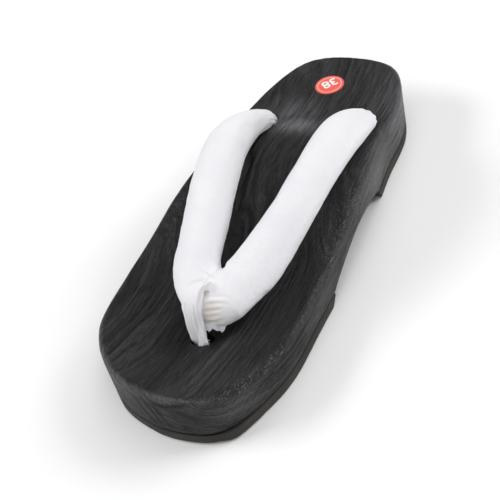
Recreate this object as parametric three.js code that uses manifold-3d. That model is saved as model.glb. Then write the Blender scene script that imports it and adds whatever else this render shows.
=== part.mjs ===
// Geta sandal for the right foot, in millimetres. +X runs to the toe, +Y to the inner side of the
// foot and +Z up. Tables and helpers measure along the sole from the back of the heel and sideways
// from the line through both heel strap holes; the last lines move the origin to the middle of the
// footprint, on the floor.
import * as THREE from 'three';
import { mergeVertices } from 'three/addons/utils/BufferGeometryUtils.js';
import Module from 'manifold-3d';

const wasm = await Module();
wasm.setup();

// Sole sizes
const soleLength = 245;
const touchGap = 0.3;
const rubberThickness = 5.2;
const woodUnderside = rubberThickness + touchGap;
const topEdgeRadius = 3;
const lowerEdgeBreak = 0.8;

// Arch, carved into the underside between heel and forefoot
const archBack = 78;
const archFront = 150;
const archRise = 8.2;
const archFlatness = 0.8;
const rubberBevel = 5;
const heelRubberChamfer = 1.6;

// Toe spring of the rubber under the toe
const toeSpring = 0.8;
const toeSpringFrom = 205;

// The forefoot rubber keeps a squarer inner toe corner than the board above it
const squareCorner = { direction: 51, proud: 1.4, spread: 0.06 };

// The board's walls lean inwards on the way down, in mm per mm
const wallLean = { heel: 0.05, toe: 0.047, outer: 0.076, inner: 0.046 };

// Outline seen from above at the top edge: distance of the outer and inner edge from the centre line
const footprint = [
  { fromHeel: 6, outer: 23.0, inner: 23.9 },
  { fromHeel: 28, outer: 35.1, inner: 35.2 },
  { fromHeel: 62, outer: 41.8, inner: 37.4 },
  { fromHeel: 98, outer: 45.9, inner: 41.0 },
  { fromHeel: 132, outer: 49.5, inner: 42.8 },
  { fromHeel: 168, outer: 52.2, inner: 42.3 },
  { fromHeel: 203, outer: 48.7, inner: 41.5 },
  { fromHeel: 230, outer: 29.8, inner: 33.4 },
  { fromHeel: 242, outer: 8.7, inner: 23.6 },
];
const heelTipSide = -2;
const toeTipSide = 9;

// Height of the upper face: a raised heel seat, a slope down to the ball and a slight lift at the toe
const upperFace = [
  { fromHeel: 0, height: 29.5 },
  { fromHeel: 45, height: 27.8 },
  { fromHeel: 85, height: 30.0 },
  { fromHeel: 120, height: 27.7 },
  { fromHeel: 155, height: 21.3 },
  { fromHeel: 195, height: 20.8 },
  { fromHeel: 245, height: 25.6 },
];

// Strap holes through the board, with a wider recess below for the knot
const holeRadius = 5.6;
const recessRadius = 8.3;
const recessCeiling = 14;
const boreTop = 40;
const strapHoles = {
  outerHeel: { fromHeel: 56.5, side: -24.5 },
  innerHeel: { fromHeel: 53.5, side: 24.5 },
  toe: { fromHeel: 203, side: 3.5 },
};

// Padded strap, a row per section from the joint at the toes to the cord below the heel hole
const outerArm = [
  { fromHeel: 200.5, side: 9, height: 27.4, halfWidth: 4.0, halfThick: 3.4, roll: 8 },
  { fromHeel: 197, side: 6.4, height: 30.0, halfWidth: 8.4, halfThick: 6.2, roll: 10 },
  { fromHeel: 191, side: 1, height: 32.8, halfWidth: 10.6, halfThick: 7.6, roll: 12 },
  { fromHeel: 170.7, side: -10.1, height: 35.4, halfWidth: 10.8, halfThick: 8.0, roll: 16 },
  { fromHeel: 146.4, side: -16.2, height: 39.1, halfWidth: 10.5, halfThick: 7.9, roll: 19 },
  { fromHeel: 121.4, side: -21.5, height: 42.3, halfWidth: 10.4, halfThick: 7.9, roll: 12 },
  { fromHeel: 97.4, side: -25.8, height: 42.7, halfWidth: 10.4, halfThick: 7.8, roll: 2 },
  { fromHeel: 77, side: -27.2, height: 38.9, halfWidth: 9.6, halfThick: 7.2, roll: -10 },
  { fromHeel: 63.4, side: -25.4, height: 33.6, halfWidth: 8.0, halfThick: 6.0, roll: -14 },
  { fromHeel: 57.3, side: -24.6, height: 28.0, halfWidth: 5.4, halfThick: 4.6, roll: 0 },
  { fromHeel: 56.5, side: -24.5, height: 20, halfWidth: 4.2, halfThick: 4.2, roll: 0 },
];
const innerArm = [
  { fromHeel: 199.5, side: 5.5, height: 27.4, halfWidth: 4.0, halfThick: 3.4, roll: 12 },
  { fromHeel: 196.8, side: 6.4, height: 30.0, halfWidth: 8.4, halfThick: 6.2, roll: 16 },
  { fromHeel: 192, side: 8, height: 33.0, halfWidth: 11.4, halfThick: 7.6, roll: 19 },
  { fromHeel: 168.5, side: 17.6, height: 34.8, halfWidth: 10.8, halfThick: 8.0, roll: 22 },
  { fromHeel: 142.3, side: 23.0, height: 40.0, halfWidth: 10.4, halfThick: 7.9, roll: 21 },
  { fromHeel: 116.6, side: 25.6, height: 43.4, halfWidth: 10.4, halfThick: 7.9, roll: 14 },
  { fromHeel: 91.6, side: 26.4, height: 42.8, halfWidth: 10.5, halfThick: 7.9, roll: 9 },
  { fromHeel: 72, side: 26.6, height: 38.6, halfWidth: 10.2, halfThick: 7.6, roll: 4 },
  { fromHeel: 60, side: 26.6, height: 34.0, halfWidth: 8.8, halfThick: 6.6, roll: 0 },
  { fromHeel: 54.2, side: 25.4, height: 28.4, halfWidth: 5.8, halfThick: 5.0, roll: 0 },
  { fromHeel: 53.5, side: 24.5, height: 20, halfWidth: 4.2, halfThick: 4.2, roll: 0 },
];

// Cloth loop round the joint of the strap, a row per section: up the front, over the top, down
// through the fork, forward underneath and back into the toe hole
const toeLoop = [
  { fromHeel: 203.4, side: 3.5, height: 12, halfWidth: 4.2, halfThick: 2.6, roll: 0 },
  { fromHeel: 204.2, side: 3.6, height: 20, halfWidth: 4.2, halfThick: 2.4, roll: 0 },
  { fromHeel: 203.8, side: 3.6, height: 27, halfWidth: 4.6, halfThick: 2.0, roll: 0 },
  { fromHeel: 201.6, side: 3.4, height: 34, halfWidth: 5.2, halfThick: 1.8, roll: 0 },
  { fromHeel: 196, side: 3.2, height: 39.6, halfWidth: 6.2, halfThick: 1.6, roll: 0 },
  { fromHeel: 187, side: 3.2, height: 42.6, halfWidth: 6.8, halfThick: 1.5, roll: 0 },
  { fromHeel: 178, side: 3.0, height: 40.6, halfWidth: 5.6, halfThick: 1.5, roll: 0 },
  { fromHeel: 172.5, side: 2.8, height: 34.5, halfWidth: 4.0, halfThick: 1.5, roll: 0 },
  { fromHeel: 174, side: 2.8, height: 26.8, halfWidth: 4.0, halfThick: 1.4, roll: 0 },
  { fromHeel: 182, side: 3.0, height: 23.2, halfWidth: 4.5, halfThick: 1.3, roll: 0 },
  { fromHeel: 194, side: 3.4, height: 22.9, halfWidth: 4.5, halfThick: 1.3, roll: 0 },
  { fromHeel: 201.8, side: 3.5, height: 19.4, halfWidth: 4.2, halfThick: 2.0, roll: 0 },
  { fromHeel: 202.4, side: 3.5, height: 12, halfWidth: 4.2, halfThick: 2.6, roll: 0 },
];

// Knots below the board, and how far up their cords run inside the straps' ends
const cordTop = { heel: 21, toe: 15 };
const cordRadius = 4.2;
const knotRingRadius = 4.3;
const knotRingThickness = 3.2;
const knotHeight = recessCeiling - touchGap - knotRingThickness;

// Fineness of the meshes
const outlinePoints = 96;
const sweepSteps = 36;
const sectionPoints = 18;
const roundPoints = 28;
const knotRingPoints = 12;
const edgeSteps = 4;

const materials = {
  wood: new THREE.MeshStandardMaterial({ color: 0x232325, roughness: 0.55, metalness: 0 }),
  rubber: new THREE.MeshStandardMaterial({ color: 0x34322e, roughness: 0.85, metalness: 0 }),
  cotton: new THREE.MeshStandardMaterial({ color: 0xeeedf2, roughness: 0.9, metalness: 0 }),
};

// Solids from and to meshes

function toSolid(geometry) {
  geometry.deleteAttribute('normal');
  geometry.deleteAttribute('uv');
  const merged = mergeVertices(geometry, 1e-4);
  return new wasm.Manifold(new wasm.Mesh({
    numProp: 3,
    vertProperties: new Float32Array(merged.attributes.position.array),
    triVerts: new Uint32Array(merged.index.array),
  }));
}

function toMesh(name, solid, material) {
  const { vertProperties, triVerts } = solid.getMesh();
  const geometry = new THREE.BufferGeometry();
  geometry.setAttribute('position', new THREE.BufferAttribute(vertProperties, 3));
  geometry.setIndex(new THREE.BufferAttribute(triVerts, 1));
  geometry.computeVertexNormals();
  const mesh = new THREE.Mesh(geometry, material);
  mesh.name = name;
  return mesh;
}

function geometryFrom(points, faces) {
  const geometry = new THREE.BufferGeometry();
  const coordinates = points.flatMap((point) => point.toArray());
  geometry.setAttribute('position', new THREE.Float32BufferAttribute(coordinates, 3));
  geometry.setIndex(faces.flat());
  return geometry;
}

// A row's value at any distance from the heel: a cubic through the table with averaged slopes
function readTable(table, column, x) {
  const last = table.length - 1;
  let i = table.findIndex((row) => row.fromHeel > x) - 1;
  if (i === -2) i = last - 1;
  i = Math.max(i, 0);
  const slope = (k) => {
    const a = table[Math.max(k - 1, 0)];
    const b = table[Math.min(k + 1, last)];
    return (b[column] - a[column]) / (b.fromHeel - a.fromHeel);
  };
  const span = table[i + 1].fromHeel - table[i].fromHeel;
  const u = THREE.MathUtils.clamp((x - table[i].fromHeel) / span, 0, 1);
  const h = [(1 + 2 * u) * (1 - u) ** 2, u * (1 - u) ** 2, u * u * (3 - 2 * u), u * u * (u - 1)];
  return h[0] * table[i][column] + h[1] * span * slope(i)
    + h[2] * table[i + 1][column] + h[3] * span * slope(i + 1);
}

const upperHeight = (x) => readTable(upperFace, 'height', x);

function archHeight(x) {
  const u = THREE.MathUtils.clamp((x - archBack) / (archFront - archBack), 0, 1);
  return archRise * Math.sin(Math.PI * u) ** archFlatness;
}

const springHeight = (x) => toeSpring * THREE.MathUtils.smoothstep(x, toeSpringFrom, soleLength);

// The sole's plan outline: points from the heel tip round the inner side to the toe and back
const outline = (() => {
  const inner = footprint.map((row) => new THREE.Vector3(row.fromHeel, row.inner, 0));
  const outer = footprint.map((row) => new THREE.Vector3(row.fromHeel, -row.outer, 0));
  const heelTip = new THREE.Vector3(0, heelTipSide, 0);
  const toeTip = new THREE.Vector3(soleLength, toeTipSide, 0);
  const curve = new THREE.CatmullRomCurve3(
    [heelTip, ...inner, toeTip, ...outer.reverse()], true, 'catmullrom', 0.5);
  return Array.from({ length: outlinePoints }, (_, i) => {
    const tangent = curve.getTangent(i / outlinePoints);
    const outward = new THREE.Vector3(-tangent.y, tangent.x, 0);
    return { point: curve.getPoint(i / outlinePoints), outward };
  });
})();

function leanAt(outward) {
  const along = outward.x ** 2 * (outward.x < 0 ? wallLean.heel : wallLean.toe);
  const across = outward.y ** 2 * (outward.y < 0 ? wallLean.outer : wallLean.inner);
  return along + across;
}

const cornerDirection = new THREE.Vector3(1, 0, 0)
  .applyAxisAngle(new THREE.Vector3(0, 0, 1), THREE.MathUtils.degToRad(squareCorner.direction));

// How far the rubber stands out at a point of the outline: a ridge along the square corner
function cornerProud(outward) {
  const offCorner = 1 - outward.dot(cornerDirection);
  return squareCorner.proud * Math.max(0, 1 - offCorner / squareCorner.spread);
}

// One ring of the sole's wall, at a height that may change along the sole and moved in by inset
function wallRing(heightAt, inset = 0, proudAt = () => 0) {
  return outline.map(({ point, outward }) => {
    const z = heightAt(point.x);
    const lean = leanAt(outward) * (upperHeight(point.x) - z);
    const ringPoint = point.clone().addScaledVector(outward, proudAt(outward) - inset - lean);
    ringPoint.z = z;
    return ringPoint;
  });
}

// A closed solid over rings of the sole's outline, from the lowest ring to the highest
function soleSolid(rings) {
  const n = outlinePoints;
  const faces = [];
  for (let r = 0; r < rings.length - 1; r += 1) {
    for (let i = 0; i < n; i += 1) {
      const a = r * n + i;
      const b = r * n + ((i + 1) % n);
      faces.push([a, a + n, b], [b, a + n, b + n]);
    }
  }
  const top = (rings.length - 1) * n;
  for (let left = 0; left < n / 2; left += 1) {
    const right = (n - left) % n;
    const nextRight = n - left - 1;
    if (left !== right) {
      faces.push([left, left + 1, right], [top + left, top + right, top + left + 1]);
    }
    if (left + 1 !== nextRight) {
      faces.push([left + 1, nextRight, right], [top + left + 1, top + right, top + nextRight]);
    }
  }
  return toSolid(geometryFrom(rings.flat(), faces));
}

function uprightCylinder({ fromHeel, side }, radius, bottom, top) {
  const cylinder = new THREE.CylinderGeometry(radius, radius, top - bottom, roundPoints);
  cylinder.rotateX(Math.PI / 2);
  cylinder.translate(fromHeel, side, (top + bottom) / 2);
  return toSolid(cylinder);
}

// A bar across the whole sole with the given side view, a list of [from heel, height] corners
function crossBar(corners) {
  const shape = new THREE.Shape(corners.map(([x, z]) => new THREE.Vector2(x, z)));
  const bar = new THREE.ExtrudeGeometry(shape, { depth: soleLength, bevelEnabled: false });
  bar.rotateX(Math.PI / 2);
  bar.translate(0, soleLength / 2, 0);
  return toSolid(bar);
}

// The carved board; grow raises its upper face and narrows its holes, to cut soft pieces clear of it
function board(grow = 0) {
  const underside = (x) => woodUnderside + archHeight(x);
  const rings = [
    wallRing(underside, lowerEdgeBreak),
    wallRing((x) => underside(x) + lowerEdgeBreak),
  ];
  for (let k = 0; k <= edgeSteps; k += 1) {
    const turn = (k / edgeSteps) * (Math.PI / 2);
    const drop = topEdgeRadius * (1 - Math.sin(turn));
    rings.push(wallRing((x) => upperHeight(x) + grow - drop, topEdgeRadius * (1 - Math.cos(turn))));
  }
  return Object.values(strapHoles).reduce((solid, hole) => solid
    .subtract(uprightCylinder(hole, holeRadius - grow, 0, boreTop))
    .subtract(uprightCylinder(hole, recessRadius - grow, 0, recessCeiling - grow)), soleSolid(rings));
}

// The whole rubber layer; the two pads are cut from it
function rubberLayer() {
  const layer = soleSolid([
    wallRing(springHeight, lowerEdgeBreak, cornerProud),
    wallRing((x) => springHeight(x) + lowerEdgeBreak, 0, cornerProud),
    wallRing(() => rubberThickness, 0, cornerProud),
  ]);
  return Object.values(strapHoles).reduce(
    (solid, hole) => solid.subtract(uprightCylinder(hole, recessRadius, -1, woodUnderside + 1)), layer);
}

function forefootRubber() {
  const over = woodUnderside + 1;
  return rubberLayer().intersect(crossBar([
    [archFront + rubberBevel + 1, -1],
    [soleLength + 1, -1],
    [soleLength + 1, over],
    [archFront - 1, over],
    [archFront, rubberThickness],
    [archFront + rubberBevel, 0],
  ]));
}

function heelRubber() {
  const over = woodUnderside + 1;
  return rubberLayer().intersect(crossBar([
    [-1, -1],
    [archBack - 3 * heelRubberChamfer, -1],
    [archBack - heelRubberChamfer, heelRubberChamfer],
    [archBack, rubberThickness],
    [archBack, over],
    [-1, over],
  ]));
}

// A rounded bar swept through the rows of a table; grow widens it all round
function sweep(rows, grow = 0) {
  const path = new THREE.CatmullRomCurve3(
    rows.map((row) => new THREE.Vector3(row.fromHeel, row.side, row.height)), false, 'centripetal');
  const sizes = new THREE.CatmullRomCurve3(
    rows.map((row) => new THREE.Vector3(row.halfWidth, row.halfThick, row.roll)), false, 'catmullrom', 0.5);
  const across = new THREE.Vector3(0, 1, 0);
  const points = [];
  const faces = [];
  const m = sectionPoints;
  for (let s = 0; s <= sweepSteps; s += 1) {
    const t = s / sweepSteps;
    const tangent = path.getTangent(t);
    const centre = path.getPoint(t).addScaledVector(tangent, grow * (2 * t - 1));
    const size = sizes.getPoint(t);
    const sideways = across.clone().addScaledVector(tangent, -across.dot(tangent)).normalize();
    sideways.applyAxisAngle(tangent, THREE.MathUtils.degToRad(size.z));
    const upwards = tangent.clone().cross(sideways);
    for (let i = 0; i < m; i += 1) {
      const turn = (i / m) * 2 * Math.PI;
      points.push(centre.clone()
        .addScaledVector(sideways, (size.x + grow) * Math.cos(turn))
        .addScaledVector(upwards, (size.y + grow) * Math.sin(turn)));
      if (s < sweepSteps) {
        const a = s * m + i;
        const b = s * m + ((i + 1) % m);
        faces.push([a, b, a + m], [b, b + m, a + m]);
      }
    }
  }
  const ends = [points.length, points.length + 1];
  points.push(path.getPoint(0).addScaledVector(path.getTangent(0), -grow));
  points.push(path.getPoint(1).addScaledVector(path.getTangent(1), grow));
  for (let i = 0; i < m; i += 1) {
    const j = (i + 1) % m;
    faces.push([ends[0], j, i], [ends[1], sweepSteps * m + i, sweepSteps * m + j]);
  }
  return toSolid(geometryFrom(points, faces));
}

// A plain knot: one turn of cord round the cord's end, drawn up below the recess ceiling
function knot(hole, topHeight) {
  const turn = new THREE.TorusGeometry(knotRingRadius, knotRingThickness, knotRingPoints, roundPoints);
  turn.translate(hole.fromHeel, hole.side, knotHeight);
  const cord = uprightCylinder(hole, cordRadius, knotHeight - knotRingThickness, topHeight);
  return toSolid(turn).add(cord);
}

const paddedArms = (grow) => sweep(outerArm, grow).add(sweep(innerArm, grow));

function strap() {
  return paddedArms(0)
    .subtract(board(touchGap))
    .add(knot(strapHoles.outerHeel, cordTop.heel))
    .add(knot(strapHoles.innerHeel, cordTop.heel));
}

function frontThong() {
  return sweep(toeLoop)
    .add(knot(strapHoles.toe, cordTop.toe))
    .subtract(paddedArms(touchGap))
    .subtract(board(touchGap));
}

const sandal = new THREE.Group();
sandal.name = 'geta_sandal';
sandal.add(toMesh('board', board(), materials.wood));
sandal.add(toMesh('forefoot_rubber', forefootRubber(), materials.rubber));
sandal.add(toMesh('heel_rubber', heelRubber(), materials.rubber));
sandal.add(toMesh('strap', strap(), materials.cotton));
sandal.add(toMesh('front_thong', frontThong(), materials.cotton));

const footprintBox = new THREE.Box3().setFromObject(sandal);
const middle = footprintBox.getCenter(new THREE.Vector3());
sandal.position.set(-middle.x, -middle.y, -footprintBox.min.z);

export default sandal;
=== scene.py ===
# %% [markdown]
# # A geta sandal for the right foot
# The sandal is a carved board of black stained wood with rubber pads glued below, a white padded
# strap and a cloth loop that holds the strap's joint down between the toes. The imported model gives
# the true sizes. This lesson builds the visible skin of each piece on top of it, in metres, and
# gives each one a finish that is worked out by nodes.

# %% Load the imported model
import math
from collections import namedtuple

import bmesh
import bpy
import numpy as np
from mathutils import Matrix, Vector


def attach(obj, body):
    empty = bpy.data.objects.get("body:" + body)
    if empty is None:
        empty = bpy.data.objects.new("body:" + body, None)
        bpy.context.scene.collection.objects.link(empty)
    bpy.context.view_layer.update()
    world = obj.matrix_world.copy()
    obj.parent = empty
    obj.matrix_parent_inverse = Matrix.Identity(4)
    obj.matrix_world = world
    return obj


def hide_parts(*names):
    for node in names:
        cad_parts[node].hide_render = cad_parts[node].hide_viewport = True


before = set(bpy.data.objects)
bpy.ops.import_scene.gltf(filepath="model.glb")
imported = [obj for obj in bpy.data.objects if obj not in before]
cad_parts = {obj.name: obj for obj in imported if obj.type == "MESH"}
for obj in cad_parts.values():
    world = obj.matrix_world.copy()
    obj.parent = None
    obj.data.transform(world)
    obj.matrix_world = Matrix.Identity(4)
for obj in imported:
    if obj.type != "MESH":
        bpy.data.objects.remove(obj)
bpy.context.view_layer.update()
MM = 0.001
print("nodes:", sorted(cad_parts))

# %% [markdown]
# ## Camera
# The photograph looks down at the toe from the inner front, from about 0.7 m away, with the sandal
# tipped a little. Here the sandal stands flat, so the camera rolls instead. Its place was worked out
# from the board's outline, and the aim is the middle of the sandal.

# %% Camera
CAMERA_SPOT = Vector((0.4998, 0.3071, 0.4585))
CAMERA_AIM = Vector((0.021, 0.005, 0.020))
PICTURE_UP = Vector((-0.6406, -0.0912, 0.7625))
LENS = 114

camera = bpy.data.objects.new("camera", bpy.data.cameras.new("camera"))
bpy.context.scene.collection.objects.link(camera)
forward = (CAMERA_AIM - CAMERA_SPOT).normalized()
sideways = forward.cross(PICTURE_UP).normalized()
upwards = sideways.cross(forward)
turned = Matrix((sideways, upwards, -forward)).transposed()
camera.matrix_world = Matrix.Translation(CAMERA_SPOT) @ turned.to_4x4()
camera.data.lens = LENS
bpy.context.scene.camera = camera
print("camera to sandal:", round((CAMERA_AIM - CAMERA_SPOT).length, 3), "m")

# %% [markdown]
# ## Helpers for meshes and curves
# Every piece is a plain mesh whose place is in its points, because the frame keeps all objects at the
# origin. A small set of helpers makes a mesh from grids of points, closes it, and hands it over with
# its material, its body and the CAD node that it stands for. Edges that are drawn as a curve through
# a few measured points use one smooth curve, so that a table of a dozen rows is enough for a shape.

# %% Mesh helpers
MERGE_DISTANCE = 1e-6
SHARP_ANGLE = math.radians(50)


def mesh_object(name, points, faces, edges=()):
    mesh = bpy.data.meshes.new(name)
    mesh.from_pydata([tuple(p) for p in points], edges, faces)
    mesh.update()
    made = bpy.data.objects.new(name, mesh)
    bpy.context.scene.collection.objects.link(made)
    return made


def merge_points(made):
    """Merges points that coincide, then turns all faces outwards."""
    bm = bmesh.new()
    bm.from_mesh(made.data)
    bmesh.ops.remove_doubles(bm, verts=bm.verts, dist=MERGE_DISTANCE)
    bmesh.ops.dissolve_degenerate(bm, edges=bm.edges, dist=MERGE_DISTANCE)
    bmesh.ops.recalc_face_normals(bm, faces=bm.faces)
    bm.to_mesh(made.data)
    bm.free()


def apply_modifiers(made):
    """Puts what the modifiers give into the object's own mesh."""
    evaluated = made.evaluated_get(bpy.context.evaluated_depsgraph_get())
    done = bpy.data.meshes.new_from_object(evaluated)
    made.modifiers.clear()
    old = made.data
    made.data = done
    bpy.data.meshes.remove(old)


def grid_faces(rows, columns, first=0, wrap=False):
    """Quads over a grid of points stored row by row; wrap joins the last column to the first."""
    faces = []
    for r in range(rows - 1):
        for c in range(columns if wrap else columns - 1):
            a = first + r * columns + c
            b = first + r * columns + (c + 1) % columns
            faces.append((a, b, b + columns, a + columns))
    return faces


def finish_piece(made, material, slot, *nodes):
    """Gives the piece its finish, its body and the CAD nodes it stands for; slot is not used."""
    made.data.materials.clear()
    made.data.materials.append(material)
    made.data.shade_smooth()
    made.data.set_sharp_from_angle(angle=SHARP_ANGLE)
    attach(made, "root")
    if nodes:
        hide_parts(*nodes)
    print(made.name, "has", len(made.data.polygons), "faces")


# %% Curve helpers
def catmull_rom(points, at, closed=False):
    """A smooth curve through the points, read at places from 0 to 1, with its direction there."""
    points = np.asarray(points, float)
    n = len(points)
    place = np.asarray(at, float) * (n if closed else n - 1)
    i = np.floor(place).astype(int)
    if not closed:
        i = np.minimum(i, n - 2)
    u = (place - i)[:, None]

    def row(k):
        if closed:
            return points[(i + k) % n]
        inside = points[np.clip(i + k, 0, n - 1)]
        before = (i + k < 0)[:, None]
        after = (i + k > n - 1)[:, None]
        inside = np.where(before, 2 * points[0] - points[1], inside)
        return np.where(after, 2 * points[-1] - points[-2], inside)

    a, b, c, d = row(-1), row(0), row(1), row(2)
    where = 0.5 * (2 * b + (c - a) * u + (2 * a - 5 * b + 4 * c - d) * u**2
                   + (3 * b - a - 3 * c + d) * u**3)
    way = 0.5 * ((c - a) + 2 * (2 * a - 5 * b + 4 * c - d) * u + 3 * (3 * b - a - 3 * c + d) * u**2)
    return where, way / np.linalg.norm(way, axis=1)[:, None]


def smooth_between(x, low, high):
    """Rises smoothly from 0 at low to 1 at high."""
    u = np.clip((x - low) / (high - low), 0, 1)
    return u * u * (3 - 2 * u)


# %% [markdown]
# ## The sole's outline and side view
# The board and the rubber pads share one outline, widest at the ball, with the toe nearer the inner
# side, and walls that lean in on the way down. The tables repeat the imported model's sizes in
# millimetres, a row per section from the heel to the toe. The outline runs through them as one
# smooth closed curve.

# %% Sole tables
Edge = namedtuple("Edge", "from_heel outer inner")
FOOTPRINT = [
    Edge(6, 23.0, 23.9),
    Edge(28, 35.1, 35.2),
    Edge(62, 41.8, 37.4),
    Edge(98, 45.9, 41.0),
    Edge(132, 49.5, 42.8),
    Edge(168, 52.2, 42.3),
    Edge(203, 48.7, 41.5),
    Edge(230, 29.8, 33.4),
    Edge(242, 8.7, 23.6),
]
SOLE_LENGTH = 245
HEEL_TIP_SIDE = -2
TOE_TIP_SIDE = 9

Seat = namedtuple("Seat", "from_heel height")
UPPER_FACE = [
    Seat(0, 29.5),
    Seat(45, 27.8),
    Seat(85, 30.0),
    Seat(120, 27.7),
    Seat(155, 21.3),
    Seat(195, 20.8),
    Seat(245, 25.6),
]
RUBBER_THICKNESS = 5.2
WOOD_UNDERSIDE = 5.5
TOP_EDGE_RADIUS = 3.0
LOWER_EDGE_BREAK = 0.8
ARCH_BACK, ARCH_FRONT, ARCH_RISE, ARCH_FLATNESS = 78, 150, 8.2, 0.8
TOE_SPRING, TOE_SPRING_FROM = 0.8, 205

# How far each wall leans in, in millimetres for a millimetre down, and the rubber's proud corner.
LEAN = {"heel": 0.05, "toe": 0.047, "outer": 0.076, "inner": 0.046}
CORNER_TURN, CORNER_PROUD, CORNER_SPREAD = math.radians(51), 1.4, 0.06
OUTLINE_POINTS = 320
ACROSS_POINTS = 44

inner_side = [(e.from_heel, e.inner) for e in FOOTPRINT]
outer_side = [(e.from_heel, -e.outer) for e in reversed(FOOTPRINT)]
corners = [(0, HEEL_TIP_SIDE), *inner_side, (SOLE_LENGTH, TOE_TIP_SIDE), *outer_side]
outline, outline_way = catmull_rom(corners, np.arange(OUTLINE_POINTS) / OUTLINE_POINTS, closed=True)
outward = np.stack([-outline_way[:, 1], outline_way[:, 0]], axis=1)
outline_middle = (outline.min(axis=0) + outline.max(axis=0)) / 2
print("outline:", np.ptp(outline, axis=0).round(1), "mm")


# %% Heights along the sole
def upper_height(x):
    """Height of the upper face, by a cubic through the table with averaged slopes."""
    stations = np.array([s.from_heel for s in UPPER_FACE], float)
    heights = np.array([s.height for s in UPPER_FACE])
    last = len(stations) - 1
    ahead = np.minimum(np.arange(last + 1) + 1, last)
    behind = np.maximum(np.arange(last + 1) - 1, 0)
    slopes = (heights[ahead] - heights[behind]) / (stations[ahead] - stations[behind])
    x = np.asarray(x, float)
    i = np.clip(np.searchsorted(stations, x, side="right") - 1, 0, last - 1)
    span = stations[i + 1] - stations[i]
    u = np.clip((x - stations[i]) / span, 0, 1)
    return ((1 + 2 * u) * (1 - u) ** 2 * heights[i] + u * (1 - u) ** 2 * span * slopes[i]
            + u * u * (3 - 2 * u) * heights[i + 1] + u * u * (u - 1) * span * slopes[i + 1])


def arch_height(x):
    """How far the carved arch rises above the wood's flat underside."""
    u = np.clip((np.asarray(x, float) - ARCH_BACK) / (ARCH_FRONT - ARCH_BACK), 0, 1)
    return ARCH_RISE * np.sin(np.pi * u) ** ARCH_FLATNESS


def spring_height(x):
    """How far the rubber lifts off the floor towards the toe."""
    return TOE_SPRING * smooth_between(x, TOE_SPRING_FROM, SOLE_LENGTH)


def to_frame(points):
    """From millimetres along the sole to metres in the model's frame."""
    points = np.array(points, float)
    points[..., :2] -= outline_middle
    return points * MM


# %% Walls and faces of the sole
square_outward = outward @ np.array([math.cos(CORNER_TURN), math.sin(CORNER_TURN)])
corner_proud = CORNER_PROUD * np.maximum(0, 1 - (1 - square_outward) / CORNER_SPREAD)
along_lean = outward[:, 0] ** 2 * np.where(outward[:, 0] < 0, LEAN["heel"], LEAN["toe"])
across_lean = outward[:, 1] ** 2 * np.where(outward[:, 1] < 0, LEAN["outer"], LEAN["inner"])


def wall_ring(height_at, inset=0.0, proud=0.0):
    """The outline at a height, moved in by the walls' lean and an inset, and out where it is proud."""
    z = height_at(outline[:, 0])
    move = proud - inset - (along_lean + across_lean) * (upper_height(outline[:, 0]) - z)
    return np.column_stack([outline + outward * move[:, None], z])


def face_rows(ring, height_at):
    """A grid of points across the sole between the two sides of a ring."""
    n = len(ring)
    left = ring[: n // 2 + 1]
    right = ring[(n - np.arange(n // 2 + 1)) % n]
    share = np.linspace(0, 1, ACROSS_POINTS)[None, :, None]
    rows = left[:, None] * (1 - share) + right[:, None] * share
    rows[:, 1:-1, 2] = height_at(rows[:, 1:-1, 0])
    return rows


def sole_body(name, rings, lower_height, upper_height_at):
    """A closed body over rings of the outline, with a grid of quads for both faces."""
    points = np.concatenate(rings)
    faces = [tuple(reversed(f)) for f in grid_faces(len(rings), OUTLINE_POINTS, wrap=True)]
    for ring, height_at, flip in ((rings[0], lower_height, True), (rings[-1], upper_height_at, False)):
        rows = face_rows(ring, height_at)
        cap = grid_faces(*rows.shape[:2], first=len(points))
        faces += [tuple(reversed(f)) for f in cap] if flip else cap
        points = np.concatenate([points, rows.reshape(-1, 3)])
    made = mesh_object(name, to_frame(points), faces)
    merge_points(made)
    return made


# %% [markdown]
# ## Cutters
# The strap holes are bored from above and widened from below for the knots. The rubber pads are cut
# from one layer with a bar that has their side view. A Boolean modifier does each cut, as the
# carpenter's drill and knife would.

# %% Cutting
Hole = namedtuple("Hole", "from_heel side")
STRAP_HOLES = {"outer_heel": Hole(56.5, -24.5), "inner_heel": Hole(53.5, 24.5), "toe": Hole(203, 3.5)}
HOLE_RADIUS, RECESS_RADIUS, RECESS_CEILING = 5.6, 8.3, 14.0
ROUND_POINTS = 64


def upright_cylinder(hole, radius, bottom, top):
    turn = np.arange(ROUND_POINTS) / ROUND_POINTS * 2 * math.pi
    ring = np.column_stack([hole.from_heel + radius * np.cos(turn), hole.side + radius * np.sin(turn)])
    points = [(*p, z) for z in (bottom, top) for p in ring]
    faces = grid_faces(2, ROUND_POINTS, wrap=True)
    faces += [tuple(reversed(range(ROUND_POINTS))), tuple(range(ROUND_POINTS, 2 * ROUND_POINTS))]
    return mesh_object("cutter", to_frame(points), faces)


def cross_bar(side_view):
    """A bar right across the sole with the given (from heel, height) corners."""
    n = len(side_view)
    points = [(x, y, z) for y in (-SOLE_LENGTH, SOLE_LENGTH) for x, z in side_view]
    faces = grid_faces(2, n, wrap=True) + [tuple(range(n)), tuple(range(n, 2 * n))]
    bar = mesh_object("cutter", to_frame(points), faces)
    merge_points(bar)
    return bar


def cut(made, cutter, operation="DIFFERENCE"):
    boolean = made.modifiers.new("cut", "BOOLEAN")
    boolean.operation = operation
    boolean.object = cutter
    boolean.solver = "EXACT"
    apply_modifiers(made)
    bpy.data.objects.remove(cutter)


# %% [markdown]
# ## Node helpers
# A finish is a small network: where on the piece, a pattern, a colour or a bump. These helpers add a
# node and set its values in one line, and lay a chain of bumps, so each finish below reads as a list
# of what the material shows.

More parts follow.
